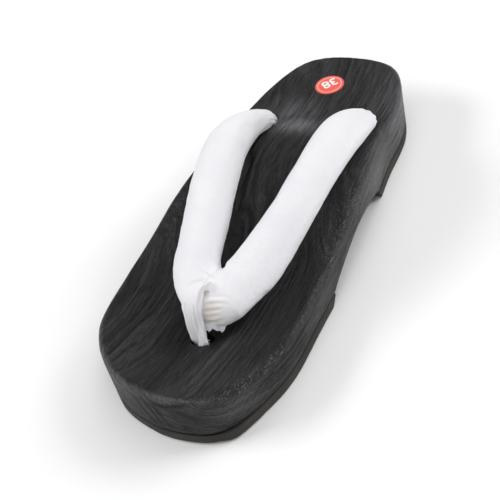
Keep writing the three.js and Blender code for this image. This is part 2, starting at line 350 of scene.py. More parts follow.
# %% Node helpers
def add_node(tree, kind, values=None, **settings):
    node = tree.nodes.new(kind)
    for key, value in settings.items():
        setattr(node, key, value)
    for key, value in (values or {}).items():
        if isinstance(value, bpy.types.NodeSocket):
            tree.links.new(value, node.inputs[key])
        else:
            node.inputs[key].default_value = value
    return node


def new_material(name, **shader_values):
    material = bpy.data.materials.new(name)
    material.use_nodes = True
    tree = material.node_tree
    tree.nodes.clear()
    shader = add_node(tree, "ShaderNodeBsdfPrincipled")
    for key, value in shader_values.items():
        shader.inputs[key.replace("_", " ")].default_value = value
    output = add_node(tree, "ShaderNodeOutputMaterial")
    tree.links.new(shader.outputs["BSDF"], output.inputs["Surface"])
    return material, tree, shader


def place_in_mm(tree, turn=(0, 0, 0)):
    """Object coordinates in millimetres, turned if the pattern runs askew."""
    where = add_node(tree, "ShaderNodeTexCoord").outputs["Object"]
    mapping = add_node(tree, "ShaderNodeMapping", {
        "Vector": where, "Scale": (1000, 1000, 1000), "Rotation": tuple(map(math.radians, turn))})
    return mapping.outputs["Vector"]


def drawn_out(tree, place, per_mm):
    """Scales a place for each axis, so that a pattern is drawn out where the scale is small."""
    return add_node(tree, "ShaderNodeMapping", {"Vector": place, "Scale": per_mm}).outputs["Vector"]


def shifted(tree, place, x=0.0, y=0.0, z=0.0):
    offset = add_node(tree, "ShaderNodeCombineXYZ", {"X": x, "Y": y, "Z": z}).outputs[0]
    return add_node(tree, "ShaderNodeVectorMath", {0: place, 1: offset}, operation="ADD").outputs[0]


def painted(tree, name):
    """A number that the mesh carries at its points."""
    return add_node(tree, "ShaderNodeAttribute", attribute_name=name).outputs["Fac"]


def mix_colours(tree, share, first, second):
    node = add_node(tree, "ShaderNodeMix", data_type="RGBA")
    for key, value in (("Factor", share), (6, first), (7, second)):
        socket = node.inputs[key]
        if isinstance(value, bpy.types.NodeSocket):
            tree.links.new(value, socket)
        else:
            socket.default_value = value if isinstance(value, float) else (*value, 1)
    return node.outputs[2]


def noise(tree, place, scale=1.0, detail=3.0, roughness=0.55, distortion=0.0):
    node = add_node(tree, "ShaderNodeTexNoise", {
        "Vector": place, "Scale": scale, "Detail": detail, "Roughness": roughness,
        "Distortion": distortion})
    return node.outputs["Fac"]


def remap(tree, value, low, high, to_low=0.0, to_high=1.0):
    node = add_node(tree, "ShaderNodeMapRange", {
        "Value": value, "From Min": low, "From Max": high, "To Min": to_low, "To Max": to_high})
    return node.outputs["Result"]


def maths(tree, operation, a, b=0.0):
    node = add_node(tree, "ShaderNodeMath", {0: a, 1: b}, operation=operation)
    return node.outputs[0]


def colour_ramp(tree, value, *stops):
    node = add_node(tree, "ShaderNodeValToRGB", {"Fac": value})
    ramp = node.color_ramp
    while len(ramp.elements) < len(stops):
        ramp.elements.new(0.5)
    for element, (place, colour) in zip(ramp.elements, stops):
        element.position = place
        element.color = (*colour, 1)
    return node.outputs["Color"]


def bump(tree, height, depth_mm, before=None, strength=1.0):
    values = {"Height": height, "Distance": depth_mm * MM, "Strength": strength}
    if before is not None:
        values["Normal"] = before
    return add_node(tree, "ShaderNodeBump", values).outputs["Normal"]


# %% [markdown]
# Geometry Nodes trees make what repeats or follows a surface. Each one has the same two ends: named
# inputs for the shape, some numbers and the material, and then Realize Instances and Set Material.

# %% Tree helpers
def shape_tree(name, numbers):
    """A Geometry Nodes tree with named inputs, and the sockets that they come from."""
    tree = bpy.data.node_groups.new(name, "GeometryNodeTree")
    face = tree.interface
    face.new_socket("Geometry", in_out="INPUT", socket_type="NodeSocketGeometry")
    for label, value in numbers.items():
        kind = "NodeSocketInt" if isinstance(value, int) else "NodeSocketFloat"
        face.new_socket(label, in_out="INPUT", socket_type=kind).default_value = value
    face.new_socket("Material", in_out="INPUT", socket_type="NodeSocketMaterial")
    face.new_socket("Geometry", in_out="OUTPUT", socket_type="NodeSocketGeometry")
    return tree, tree.nodes.new("NodeGroupInput").outputs


def end_tree(tree, geometry, material):
    realized = add_node(tree, "GeometryNodeRealizeInstances", {"Geometry": geometry})
    coated = add_node(tree, "GeometryNodeSetMaterial", {
        "Geometry": realized.outputs[0], "Material": material})
    tree.links.new(coated.outputs[0], tree.nodes.new("NodeGroupOutput").inputs[0])
    return tree


def vector_maths(tree, operation, a, b=None, scale=None):
    values = {0: a} | ({} if b is None else {1: b}) | ({} if scale is None else {"Scale": scale})
    return add_node(tree, "ShaderNodeVectorMath", values, operation=operation).outputs[0]


def run_nodes(made, tree, inputs):
    """Adds a Geometry Nodes modifier, sets its inputs by the sockets' identifiers and applies it."""
    modifier = made.modifiers.new(tree.name, "NODES")
    modifier.node_group = tree
    sockets = {item.name: item.identifier for item in tree.interface.items_tree
               if item.item_type == "SOCKET" and item.in_out == "INPUT"}
    for name, value in inputs.items():
        modifier[sockets[name]] = value
    apply_modifiers(made)


# %% [markdown]
# ## Stained wood
# The board is a light wood with open grain, brushed so that the soft summer wood sinks between the
# hard lines, then stained black and wiped with a thin wax. The grain is one solid pattern that runs
# along the board: fibres and growth lines drawn out lengthwise on the faces and walls, and rings with
# pores where toe and heel cut them across. So nothing has to be unwrapped. Four painted numbers add
# pale specks for wear and painted glint, painted sheen, grooved places and the walls' coarser contrast.

# %% Wood finish
LAYER_TILT = 20
STAIN_DARK = (0.003, 0.003, 0.0035)
STAIN_MID = (0.009, 0.009, 0.0095)
STAIN_PALE = (0.034, 0.034, 0.035)
# Rubbed fibre and painted glint: the pale specks on the top edge stand partly for wear and partly for
# light glinting on the rim.
RUBBED_FIBRE_AND_GLINT = (0.24, 0.24, 0.26)
# Painted sheen: a pale grey that stands for soft reflections of light on the heel seat, the inner walls
# and the rim.
SHEEN_GREY = (0.21, 0.21, 0.225)


def wood_finish():
    material, tree, shader = new_material("stained_wood", Specular_IOR_Level=0.36)
    place = place_in_mm(tree, turn=(LAYER_TILT, 0, 1.5))
    sway = noise(tree, drawn_out(tree, place, (0.012, 0.05, 0.05)), detail=2)
    swayed = shifted(tree, place, z=maths(tree, "MULTIPLY", sway, 9.0))
    bands = noise(tree, drawn_out(tree, swayed, (0.004, 0.03, 0.28)), detail=2)
    layers = noise(tree, drawn_out(tree, swayed, (0.006, 0.06, 1.35)), detail=2, roughness=0.5)
    fibres = noise(tree, drawn_out(tree, place, (0.05, 1.1, 1.1)), detail=4, roughness=0.66)
    pores = noise(tree, drawn_out(tree, place, (0.10, 1.7, 1.7)), detail=1)
    open_pores = remap(tree, pores, 0.60, 0.68)
    cloud = noise(tree, drawn_out(tree, place, (0.02, 0.035, 0.035)), detail=3)

    even = maths(tree, "MULTIPLY", bands, 0.35)
    for pattern, share in ((layers, 0.40), (fibres, 0.25)):
        even = maths(tree, "ADD", even, maths(tree, "MULTIPLY", pattern, share))
    contrast = remap(tree, painted(tree, "wall"), 0.0, 1.0, 1.1, 2.0)
    uneven = maths(tree, "MULTIPLY", maths(tree, "SUBTRACT", even, 0.5), contrast)
    grain = maths(tree, "ADD", 0.5, uneven)
    stain = colour_ramp(tree, grain, (0.42, STAIN_DARK), (0.50, STAIN_MID), (0.62, STAIN_PALE))
    specks = noise(tree, drawn_out(tree, place, (0.7, 1.5, 1.5)), detail=3, roughness=0.7)
    # Pale specks where the board's wear-and-glint number is high: partly wear, partly painted glint.
    rubbed_and_glint = maths(tree, "MULTIPLY", remap(tree, specks, 0.55, 0.66), painted(tree, "wear_and_glint"))
    brushed = maths(tree, "ADD", fibres, maths(tree, "MULTIPLY", layers, 0.6))
    # Painted sheen: the stain turns pale grey, streaked by the grain, where the board's sheen number is
    # high.
    painted_sheen_share = maths(tree, "MULTIPLY", painted(tree, "painted_sheen"), remap(tree, brushed, 0.6, 1.0, 0.35, 1.25))
    with_painted_sheen = mix_colours(tree, painted_sheen_share, stain, SHEEN_GREY)
    grooved = mix_colours(tree, painted(tree, "groove"), with_painted_sheen, STAIN_DARK)
    tree.links.new(mix_colours(tree, rubbed_and_glint, grooved, RUBBED_FIBRE_AND_GLINT), shader.inputs["Base Color"])

    polish = remap(tree, cloud, 0.35, 0.65, 0.56, 0.36)
    rough = maths(tree, "ADD", polish, maths(tree, "MULTIPLY", open_pores, 0.25))
    no_groove = maths(tree, "SUBTRACT", 1.0, painted(tree, "groove"))
    rough = maths(tree, "ADD", rough, maths(tree, "MULTIPLY", painted(tree, "groove"), 0.4))
    tree.links.new(rough, shader.inputs["Roughness"])

    relief = bump(tree, bands, 5.0)
    relief = bump(tree, layers, 1.1, relief)
    relief = bump(tree, fibres, 1.0, relief)
    relief = bump(tree, maths(tree, "SUBTRACT", 1.0, open_pores), 0.5, relief)
    pitted = maths(tree, "MULTIPLY", specks, painted(tree, "wear_and_glint"))
    relief = bump(tree, pitted, 1.6, relief)
    relief = bump(tree, no_groove, 1.0, relief)
    tree.links.new(relief, shader.inputs["Normal"])
    return material


stained_wood = wood_finish()

# %% [markdown]
# ## The board
# A board like this starts as a sawn block. Its outline is cut, the heel seat and the arch are carved,
# the top edge is rounded over and the brush leaves a gentle relief. The shape follows one rule, so it
# is built from rings of the outline, and a Geometry Nodes tree adds the brushed relief as real
# geometry along the grain.

# %% Brushed relief tree
def relief_tree():
    tree, given = shape_tree("brushed_relief", {
        "Depth": 0.00022, "Line Width": 0.0032, "Line Length": 0.10})
    finer = add_node(tree, "GeometryNodeSubdivideMesh", {"Mesh": given["Geometry"], "Level": 1})
    along = maths(tree, "DIVIDE", 1.0, given["Line Length"])
    across = maths(tree, "DIVIDE", 1.0, given["Line Width"])
    stretch = add_node(tree, "ShaderNodeCombineXYZ", {"X": along, "Y": across, "Z": across}).outputs[0]
    where = add_node(tree, "GeometryNodeInputPosition").outputs[0]
    lines = noise(tree, vector_maths(tree, "MULTIPLY", where, stretch), detail=2)
    height = maths(tree, "MULTIPLY", maths(tree, "SUBTRACT", lines, 0.55), given["Depth"])
    normal = add_node(tree, "GeometryNodeInputNormal").outputs[0]
    moved = add_node(tree, "GeometryNodeSetPosition", {
        "Geometry": finer.outputs[0], "Offset": vector_maths(tree, "SCALE", normal, scale=height)})
    return end_tree(tree, moved.outputs[0], given["Material"])


# %% Build the board
EDGE_STEPS, WALL_STEPS = 6, 8
WOOD_EDGE_BREAK = 1.1
RELIEF_DEPTH = 0.35 * MM
DRILL_FROM, DRILL_TO = -1, 40


def underside(x):
    return WOOD_UNDERSIDE + arch_height(x)


def build_board():
    lowest = wall_ring(lambda x: underside(x) + WOOD_EDGE_BREAK)
    rings = [wall_ring(underside, WOOD_EDGE_BREAK), lowest]
    highest = wall_ring(lambda x: upper_height(x) - TOP_EDGE_RADIUS)
    rings += [lowest + (highest - lowest) * step / WALL_STEPS for step in range(1, WALL_STEPS)]
    for step in range(EDGE_STEPS + 1):
        turn = step / EDGE_STEPS * math.pi / 2
        drop = TOP_EDGE_RADIUS * (1 - math.sin(turn))
        rings.append(wall_ring(lambda x: upper_height(x) - drop, TOP_EDGE_RADIUS * (1 - math.cos(turn))))
    made = sole_body("wooden_board", rings, underside, upper_height)
    run_nodes(made, relief_tree(), {"Depth": RELIEF_DEPTH, "Material": stained_wood})
    for hole in STRAP_HOLES.values():
        cut(made, upright_cylinder(hole, HOLE_RADIUS, DRILL_FROM, DRILL_TO))
        cut(made, upright_cylinder(hole, RECESS_RADIUS, DRILL_FROM, RECESS_CEILING))
    return made


board = build_board()
print("board has", len(board.data.vertices), "points")


# %% [markdown]
# ## Wear, painted glint and sheen, and grooves
# On the real board the top edge is rubbed through the stain in places, and a few deep brush lines
# cross the toe's wall. The pale specks on the edges are partly that wear and partly a painted glint of
# light on the rim, and a painted sheen stands for soft reflections on the heel seat, the inner wall at
# heel and toe, and the rim. Each is listed: a number is worked out for every point from its distance
# to a spot, to the edge or to a line, and the wood finish reads these numbers, so the marks stay on
# the wood from every side. A row gives a place in millimetres.

# %% Places of wear, painted glint and painted sheen
Spot = namedtuple("Spot", "from_heel side height reach_x reach_y reach_z strength")
# Wear and painted glint: spots of pale specks on the top edge, partly rubbed wood and partly light
# glinting on the rim.
WEAR_AND_GLINT_PLACES = [
    Spot(232, 32, 23.5, 9, 4.0, 4, 0.8),
    Spot(112, 38.5, 28, 18, 3.5, 4, 0.8),
    Spot(140, 40, 24, 18, 3.5, 4, 0.8),
    Spot(128, -42, 26, 30, 5, 5, 0.6),
]
# Painted sheen: soft pale spots for reflections on the heel seat and on the inner wall at the heel and
# the toe.
SHEEN_PLACES = [
    Spot(60, -9, 28.5, 7, 12, 5, 0.85),
    Spot(50, -13, 28, 12, 14, 5, 0.30),
    Spot(28, 34, 16, 26, 6, 12, 0.70),
    Spot(75, 39, 16, 26, 6, 12, 0.48),
    Spot(232, 28, 15, 14, 12, 7, 0.30),
]

# %% Grooves in the walls
Fold = namedtuple("Fold", "depth width line")
GRAIN_LINES = [
    Fold(1, 1.1, [(243.6, -2.8, 22.0), (244.3, 0.7, 21.6), (244.7, 6.1, 21.8), (244.7, 12.0, 23.3),
                  (243.8, 17.7, 24)]),
    Fold(0.75, 1.3, [(244.8, 7.8, 21.1), (244.6, 11.7, 18.8), (244.2, 15.6, 16.8), (243.2, 19.6, 14.8)]),
    Fold(0.65, 1, [(240.2, -12.8, 20.8), (241.5, -8.4, 14.1), (242.9, -2.6, 7.5)]),
    Fold(0.65, 1, [(242.0, -7.8, 23.5), (243.1, -4.3, 17.7), (243.5, -0.3, 9.4)]),
    Fold(0.65, 1.1, [(243.6, -2.8, 22.0), (243.9, -0.1, 17.5), (244.0, 2.0, 13.4)]),
    Fold(0.65, 1.3, [(244.0, 2.6, 10.5), (244.1, 4.7, 9.2)]),
    Fold(0.55, 1.3, [(244.3, 10.3, 10.5), (244.1, 13.5, 11.0)]),
    Fold(0.75, 1.3, [(193.9, 39.3, 20.7), (200.3, 39.6, 21.0), (205.2, 39.7, 21.0)]),
    Fold(0.65, 1.2, [(171.7, 42.0, 14.7), (189.4, 42.1, 16.4), (207.7, 40.5, 17.8),
                     (224.3, 35.4, 15.6)]),
    Fold(0.65, 1.2, [(185.1, 41.9, 12.3), (200.7, 41.5, 14.1), (215.5, 38.4, 14.5)]),
]

# %% Marks along the top edge
EdgeBand = namedtuple("EdgeBand", "from_heel inner outer")
# Wear and painted glint along the top edge, for the inner and outer side.
WEAR_AND_GLINT_EDGE = [
    EdgeBand(0, 0.3, 0.2),
    EdgeBand(70, 0.35, 0.2),
    EdgeBand(110, 1.0, 0.6),
    EdgeBand(150, 0.8, 0.6),
    EdgeBand(190, 0.3, 0.3),
    EdgeBand(222, 0.9, 0.3),
    EdgeBand(236, 1.0, 0.3),
    EdgeBand(241, 0.6, 0.3),
    EdgeBand(244, 0.2, 0.2),
]
# Painted sheen along the top edge, for the inner and outer side.
SHEEN_EDGE = [
    EdgeBand(0, 0.2, 0.1),
    EdgeBand(190, 0.1, 0.2),
    EdgeBand(215, 0.1, 0.3),
    EdgeBand(235, 0.05, 0.36),
    EdgeBand(240, 0.2, 0.36),
    EdgeBand(244, 0.36, 0.36),
]
WEAR_AND_GLINT_REACH, SHEEN_REACH = 2.2, 1.0
BAND_DEPTH, BAND_WIDTH, BAND_STARTS, BAND_FADES = 8, 1.2, 1.0, 2.0

# %% Work out the marks
LINE_STEPS, LINE_NEAR = 60, 40
POINTS_AT_ONCE = 4000


def points_of(made):
    """The mesh's points in millimetres along the sole."""
    flat = np.empty(len(made.data.vertices) * 3)
    made.data.vertices.foreach_get("co", flat)
    points = flat.reshape(-1, 3) / MM
    points[:, :2] += outline_middle
    return points


def edge_band(points, table, reach):
    """How strong a mark on the rounded top edge is at each point, by its distance from the outline."""
    apart = np.full(len(points), 99.0)
    below = upper_height(points[:, 0]) - points[:, 2]
    near = np.flatnonzero(below < BAND_DEPTH)
    for start in range(0, len(near), POINTS_AT_ONCE):
        part = near[start:start + POINTS_AT_ONCE]
        apart[part] = np.linalg.norm(points[part, None, :2] - outline[None], axis=2).min(axis=1)
    rows = np.array(table)
    inner = np.interp(points[:, 0], rows[:, 0], rows[:, 1])
    outer = np.interp(points[:, 0], rows[:, 0], rows[:, 2])
    strength = np.where(points[:, 1] > TOE_TIP_SIDE, inner, outer)
    away = np.maximum(apart - BAND_WIDTH, 0) / reach
    down = np.maximum(below - BAND_STARTS, 0) / BAND_FADES
    return strength * np.exp(-(away**2) - down**2)


def paint_spots(made, name, spots, paint=0.0):
    """Gives each point a number from soft round spots, for a finish to read."""
    points = points_of(made)
    paint = np.zeros(len(points)) + paint
    for spot in spots:
        away = (points - spot[:3]) / spot[3:6]
        paint = np.maximum(paint, spot.strength * np.exp(-(away**2).sum(axis=1)))
    made.data.attributes.new(name, "FLOAT", "POINT").data.foreach_set("value", paint.astype(np.float32))
    print(name, "on", made.name, "is over a third at", int((paint > 0.33).sum()), "points")


def line_paint(made, folds):
    """A number for each point from listed lines with soft sides."""
    points = points_of(made)
    paint = np.zeros(len(points))
    for fold in folds:
        line, _ = catmull_rom(fold.line, np.linspace(0, 1, LINE_STEPS))
        near = np.flatnonzero(np.abs(points - line.mean(axis=0)).max(axis=1) < LINE_NEAR)
        apart = np.linalg.norm(points[near, None] - line[None], axis=2)
        taper = np.sin(math.pi * (0.06 + 0.88 * apart.argmin(axis=1) / (LINE_STEPS - 1))) ** 0.5
        mark = fold.depth * taper * np.exp(-(apart.min(axis=1) / fold.width) ** 2)
        paint[near] = np.maximum(paint[near], mark)
    return paint


# %% Paint the board
WALL_STARTS, WALL_FULL = 1.5, 4.0
board_points = points_of(board)
below_top = upper_height(board_points[:, 0]) - board_points[:, 2]
# Wear and painted glint on the edges.
paint_spots(board, "wear_and_glint", WEAR_AND_GLINT_PLACES, edge_band(board_points, WEAR_AND_GLINT_EDGE, WEAR_AND_GLINT_REACH))
# Painted sheen on the heel seat, the inner walls and the rim.
paint_spots(board, "painted_sheen", SHEEN_PLACES, edge_band(board_points, SHEEN_EDGE, SHEEN_REACH))
paint_spots(board, "wall", [], smooth_between(below_top, WALL_STARTS, WALL_FULL))
paint_spots(board, "groove", [], line_paint(board, GRAIN_LINES))
finish_piece(board, stained_wood, "stained_wood", "board")

# %% [markdown]
# ## Rubber pads
# The pads are plain moulded rubber sheet, cut with the board's outline and glued on: dull, brownish
# grey, a little uneven in tone, with a faint pebble from the mould. They could be cut from the board's
# own shape, but then their walls would follow the wood's rounded edge, so one layer is built from
# rings of the same outline, and a bar with each pad's side view cuts it to length.

# %% Rubber finish
def rubber_finish():
    material, tree, shader = new_material("sole_rubber", Roughness=0.8, Specular_IOR_Level=0.35)
    place = place_in_mm(tree)
    cloud = noise(tree, drawn_out(tree, place, (0.06, 0.06, 0.06)), detail=4)
    colour = colour_ramp(tree, cloud, (0.3, (0.026, 0.024, 0.021)), (0.7, (0.046, 0.043, 0.038)))
    tree.links.new(colour, shader.inputs["Base Color"])
    pebble = noise(tree, drawn_out(tree, place, (2.2, 2.2, 2.2)), detail=2)
    relief = bump(tree, pebble, 0.10)
    tree.links.new(relief, shader.inputs["Normal"])
    return material


sole_rubber = rubber_finish()

# %% Build the pads
RUBBER_BEVEL = 5
HEEL_CHAMFER = 1.6
UPPER_EDGE_BREAK = 0.3


def rubber_layer(name):
    def level(drop):
        return lambda x: np.full_like(x, RUBBER_THICKNESS - drop)

    def lifted(share):
        return lambda x: spring_height(x) + share * LOWER_EDGE_BREAK

    rings = [
        wall_ring(lifted(0), LOWER_EDGE_BREAK, corner_proud),
        wall_ring(lifted(0.3), 0.3 * LOWER_EDGE_BREAK, corner_proud),
        wall_ring(lifted(1), 0, corner_proud),
        wall_ring(level(UPPER_EDGE_BREAK), 0, corner_proud),
        wall_ring(level(0), UPPER_EDGE_BREAK, corner_proud),
    ]
    return sole_body(name, rings, spring_height, level(0))


def build_pad(name, side_view):
    made = rubber_layer(name)
    cut(made, cross_bar(side_view), "INTERSECT")
    for hole in STRAP_HOLES.values():
        cut(made, upright_cylinder(hole, RECESS_RADIUS, DRILL_FROM, WOOD_UNDERSIDE + 1))
    return made


forefoot_pad = build_pad("forefoot_pad", [
    (ARCH_FRONT + RUBBER_BEVEL + 1, -1), (SOLE_LENGTH + 3, -1), (SOLE_LENGTH + 3, WOOD_UNDERSIDE + 1),
    (ARCH_FRONT - 1, WOOD_UNDERSIDE + 1), (ARCH_FRONT, RUBBER_THICKNESS),
    (ARCH_FRONT + RUBBER_BEVEL, 0)])
heel_pad = build_pad("heel_pad", [
    (-3, -1), (ARCH_BACK - 3 * HEEL_CHAMFER, -1), (ARCH_BACK - HEEL_CHAMFER, HEEL_CHAMFER),
    (ARCH_BACK, RUBBER_THICKNESS), (ARCH_BACK, WOOD_UNDERSIDE + 1), (-3, WOOD_UNDERSIDE + 1)])
finish_piece(forefoot_pad, sole_rubber, "sole_rubber", "forefoot_rubber")
finish_piece(heel_pad, sole_rubber, "sole_rubber", "heel_rubber")

# %% [markdown]
# ## White cotton
# The strap's cover is a fine plain weave, bleached white, over soft stuffing. The weave is two crossed
# sets of threads on the piece's own map, which is laid out in millimetres of cloth, and a soft sheen
# stands for the fuzz.

# %% Cotton finish
THREADS_PER_MM = 2.2
# A warm beige for painted shade in the pleats and creases, and for the stitch mark by the raw tab.
SHADE_AND_STITCH_CREAM = (0.56, 0.45, 0.31)


def cotton_finish():
    material, tree, shader = new_material(
        "white_cotton", Roughness=0.86, Specular_IOR_Level=0.25, Sheen_Weight=0.25, Sheen_Roughness=0.5)
    cloth = add_node(tree, "ShaderNodeUVMap", uv_map="cloth").outputs["UV"]
    split = add_node(tree, "ShaderNodeSeparateXYZ", {0: cloth})
    turns = 2 * math.pi * THREADS_PER_MM
    warp = maths(tree, "SINE", maths(tree, "MULTIPLY", split.outputs["X"], turns))
    weft = maths(tree, "SINE", maths(tree, "MULTIPLY", split.outputs["Y"], turns))
    weave = maths(tree, "MULTIPLY", warp, weft)
    place = place_in_mm(tree)
    slub = noise(tree, drawn_out(tree, place, (0.5, 0.5, 0.5)), detail=3)
    cloud = noise(tree, drawn_out(tree, place, (0.05, 0.05, 0.05)), detail=3)
    bleached = colour_ramp(tree, cloud, (0.3, (0.84, 0.83, 0.865)), (0.7, (0.89, 0.885, 0.91)))
    # Painted shade: the cloth turns warm beige in the pleats and creases; the same number also holds the
    # stitch mark.
    colour = mix_colours(tree, painted(tree, "cream_shade_and_stitch"), bleached, SHADE_AND_STITCH_CREAM)
    tree.links.new(colour, shader.inputs["Base Color"])
    relief = bump(tree, slub, 0.25)
    relief = bump(tree, weave, 0.05, relief)
    tree.links.new(relief, shader.inputs["Normal"])
    return material


white_cotton = cotton_finish()

# %% [markdown]
# ## The padded strap
# A strap like this is sewn as one long stuffed tube, folded in the middle, where the toe loop holds
# it, and each end is drawn through a heel hole. It could be a curve with a round bevel, but a real arm
# is flatter than it is wide and leans outwards, so each arm is swept along its own path with a row
# per section for its place, its two half sizes and its roll. Then the two are joined.

# %% Strap tables
Section = namedtuple("Section", "from_heel side height half_width half_thick roll")
OUTER_ARM = [
    Section(200.0, 8.6, 27.6, 3.8, 3.4, 8),
    Section(196.6, 7.0, 30.4, 7.2, 6.2, 10),
    Section(191, 0.9, 32.8, 8.7, 7.5, 12),
    Section(182, -4.6, 34.0, 10.3, 7.9, 14),
    Section(170.7, -10.5, 35.4, 9.9, 8.0, 16),
    Section(146.4, -15.9, 39.1, 10.7, 7.9, 19),
    Section(121.4, -21.5, 42.3, 11.0, 7.9, 12),
    Section(97.4, -25.8, 42.7, 10.5, 7.8, 2),
    Section(77, -27.2, 38.7, 9.6, 7.2, -10),
    Section(63.4, -25.4, 32.4, 8.0, 6.0, -14),
    Section(57.3, -24.6, 26.6, 5.2, 4.6, 0),
    Section(56.5, -24.5, 20, 4.2, 4.2, 0),
]
INNER_ARM = [
    Section(199.2, 5.3, 27.6, 3.8, 3.4, 12),
    Section(197.2, 6.7, 29.7, 8.3, 6.3, 16),
    Section(192, 8.4, 32.2, 10.9, 7.8, 19),
    Section(181.5, 13.4, 33.2, 10.6, 8.0, 21),
    Section(168.5, 17.9, 34.6, 10.8, 8.0, 22),
    Section(142.3, 23.2, 40.0, 10.4, 7.9, 21),
    Section(116.6, 25.6, 43.4, 10.4, 7.9, 14),
    Section(91.6, 26.2, 42.8, 10.6, 7.9, 9),
    Section(72, 25.7, 38.6, 10.4, 7.6, 4),
    Section(60, 26.0, 33.6, 8.3, 6.4, 0),
    Section(54.2, 24.9, 27.6, 5.0, 4.8, 0),
    Section(53.5, 24.5, 20, 4.2, 4.2, 0),
]
ARM_STEPS = 110
ARM_ROUND = 48


# %% Sweep an arm
Sweep = namedtuple("Sweep", "centre way side up size run")


def sweep_frames(rows, steps):
    """Places, directions and half sizes along a table of sections, in millimetres."""
    at = np.linspace(0, 1, steps)
    centre, way = catmull_rom([(s.from_heel, s.side, s.height) for s in rows], at)
    size, _ = catmull_rom([(s.half_width, s.half_thick, s.roll) for s in rows], at)
    across = np.array([0.0, 1.0, 0.0])
    level = across - way * (way @ across)[:, None]
    level /= np.linalg.norm(level, axis=1)[:, None]
    above = np.cross(way, level)
    roll = np.radians(size[:, 2])[:, None]
    side = level * np.cos(roll) + above * np.sin(roll)
    run = np.concatenate([[0], np.cumsum(np.linalg.norm(np.diff(centre, axis=0), axis=1))])
    return Sweep(centre, way, side, np.cross(way, side), size[:, :2], run)


def swept_tube(name, sweep, profile, wider=1.0, thicker=1.0):
    """A closed tube with the profile's points, given for a half width and half thickness of 1."""
    steps, around = len(sweep.centre), len(profile)
    rings = (sweep.centre[:, None]
             + (wider * sweep.size[:, 0, None] * profile[:, 0])[..., None] * sweep.side[:, None]
             + (thicker * sweep.size[:, 1, None] * profile[:, 1])[..., None] * sweep.up[:, None])
    middles = rings[[0, -1]].mean(axis=1)
    faces = grid_faces(steps, around, wrap=True)
    last = (steps - 1) * around
    for i in range(around):
        j = (i + 1) % around
        faces += [(steps * around, j, i), (steps * around + 1, last + i, last + j)]
    made = mesh_object(name, to_frame(np.concatenate([rings.reshape(-1, 3), middles])), faces)
    merge_points(made)
    return made


def round_profile(around):
    turn = np.arange(around) / around * 2 * math.pi
    return np.column_stack([np.cos(turn), np.sin(turn)])


outer_sweep = sweep_frames(OUTER_ARM, ARM_STEPS)
inner_sweep = sweep_frames(INNER_ARM, ARM_STEPS)
print("arm lengths:", outer_sweep.run[-1].round(), inner_sweep.run[-1].round(), "mm")


# %% Point helpers
def move_points(made, points):
    made.data.vertices.foreach_set("co", to_frame(points).ravel())
    made.data.update()


def normals_of(made):
    flat = np.empty(len(made.data.vertices) * 3)
    made.data.vertex_normals.foreach_get("vector", flat)
    return flat.reshape(-1, 3)


# %% [markdown]
# The stuffing is what gives the strap its look, so cloth simulation does this part. The joined arms
# start a little slim, are remeshed evenly, and are blown up by pressure with gravity off, while the
# ends in the holes and under the loop are held. Each point may move only a little, so the strap
# keeps the outline it has on the real sandal.

# %% Stuff the strap
START_WIDTH, START_THICKNESS = 1.11, 0.93
VOXEL = 2.2
PRESSURE = 90.0
POINT_MASS = 0.01
STUFFING_FRAMES, SOLVER_STEPS = 20, 6
MOST_MOVE = 1.6


def weigh_points(made, name, weights, least):
    """A vertex group with the given weights."""
    group = made.vertex_groups.new(name=name)
    for index in np.flatnonzero(weights > least):
        group.add([int(index)], float(weights[index]), "REPLACE")


def remesh(made, voxel_mm):
    remesher = made.modifiers.new("remesh", "REMESH")
    remesher.mode = "VOXEL"
    remesher.voxel_size = voxel_mm * MM
    apply_modifiers(made)


def stuff(made, held):
    """Blows the piece up like a stuffed tube; held is 1 where the cloth can't move."""
    before = points_of(made)
    weigh_points(made, "held", held, 0.02)
    cloth = made.modifiers.new("stuffing", "CLOTH")
    cloth.settings.use_pressure = True
    cloth.settings.uniform_pressure_force = PRESSURE
    cloth.settings.effector_weights.gravity = 0
    cloth.settings.vertex_group_mass = "held"
    cloth.settings.quality = SOLVER_STEPS
    cloth.settings.mass = POINT_MASS
    for frame_number in range(1, STUFFING_FRAMES + 1):
        bpy.context.scene.frame_set(frame_number)
    apply_modifiers(made)
    bpy.context.scene.frame_set(1)
    moved = points_of(made) - before
    length = np.linalg.norm(moved, axis=1)
    share = np.minimum(1, MOST_MOVE / np.maximum(length, 1e-9))
    move_points(made, before + moved * share[:, None])
    print("stuffing moved points by", np.percentile(length, (50, 90, 100)).round(2), "mm")


# %% Joined arms
JOINT_MIDDLE, JOINT_REACH, JOINT_PASSES = (186, 4.0, 40.5), (8.0, 6.0, 7.0), 18


def soften(made, middle, reach):
    """Evens out the valley where the two arms are sewn together."""
    away = (points_of(made) - middle) / reach
    weigh_points(made, "joint", np.exp(-(away**2).sum(axis=1)), 0.05)
    smoother = made.modifiers.new("soften", "SMOOTH")
    smoother.factor, smoother.iterations, smoother.vertex_group = 0.5, JOINT_PASSES, "joint"
    apply_modifiers(made)


IN_HOLE, HOLE_EDGE, HEEL_END, UNDER_LOOP = (22, 30), (56, 64), 70, (186, 198)
start_shape = (round_profile(ARM_ROUND), START_WIDTH, START_THICKNESS)
strap = swept_tube("padded_strap", outer_sweep, *start_shape)
cut(strap, swept_tube("inner_arm", inner_sweep, *start_shape), "UNION")
remesh(strap, VOXEL)
from_heel, _, height = points_of(strap).T
in_heel_holes = 1 - smooth_between(height, *IN_HOLE) * smooth_between(from_heel, *HOLE_EDGE)
stuff(strap, np.where(from_heel < HEEL_END, in_heel_holes, smooth_between(from_heel, *UNDER_LOOP)))
soften(strap, JOINT_MIDDLE, JOINT_REACH)
finer = strap.modifiers.new("finer", "SUBSURF")
finer.levels = finer.render_levels = 2
apply_modifiers(strap)
print("strap has", len(strap.data.vertices), "points")


# %% Place along a sweep
CLOTH_ROUND_ARM = 59


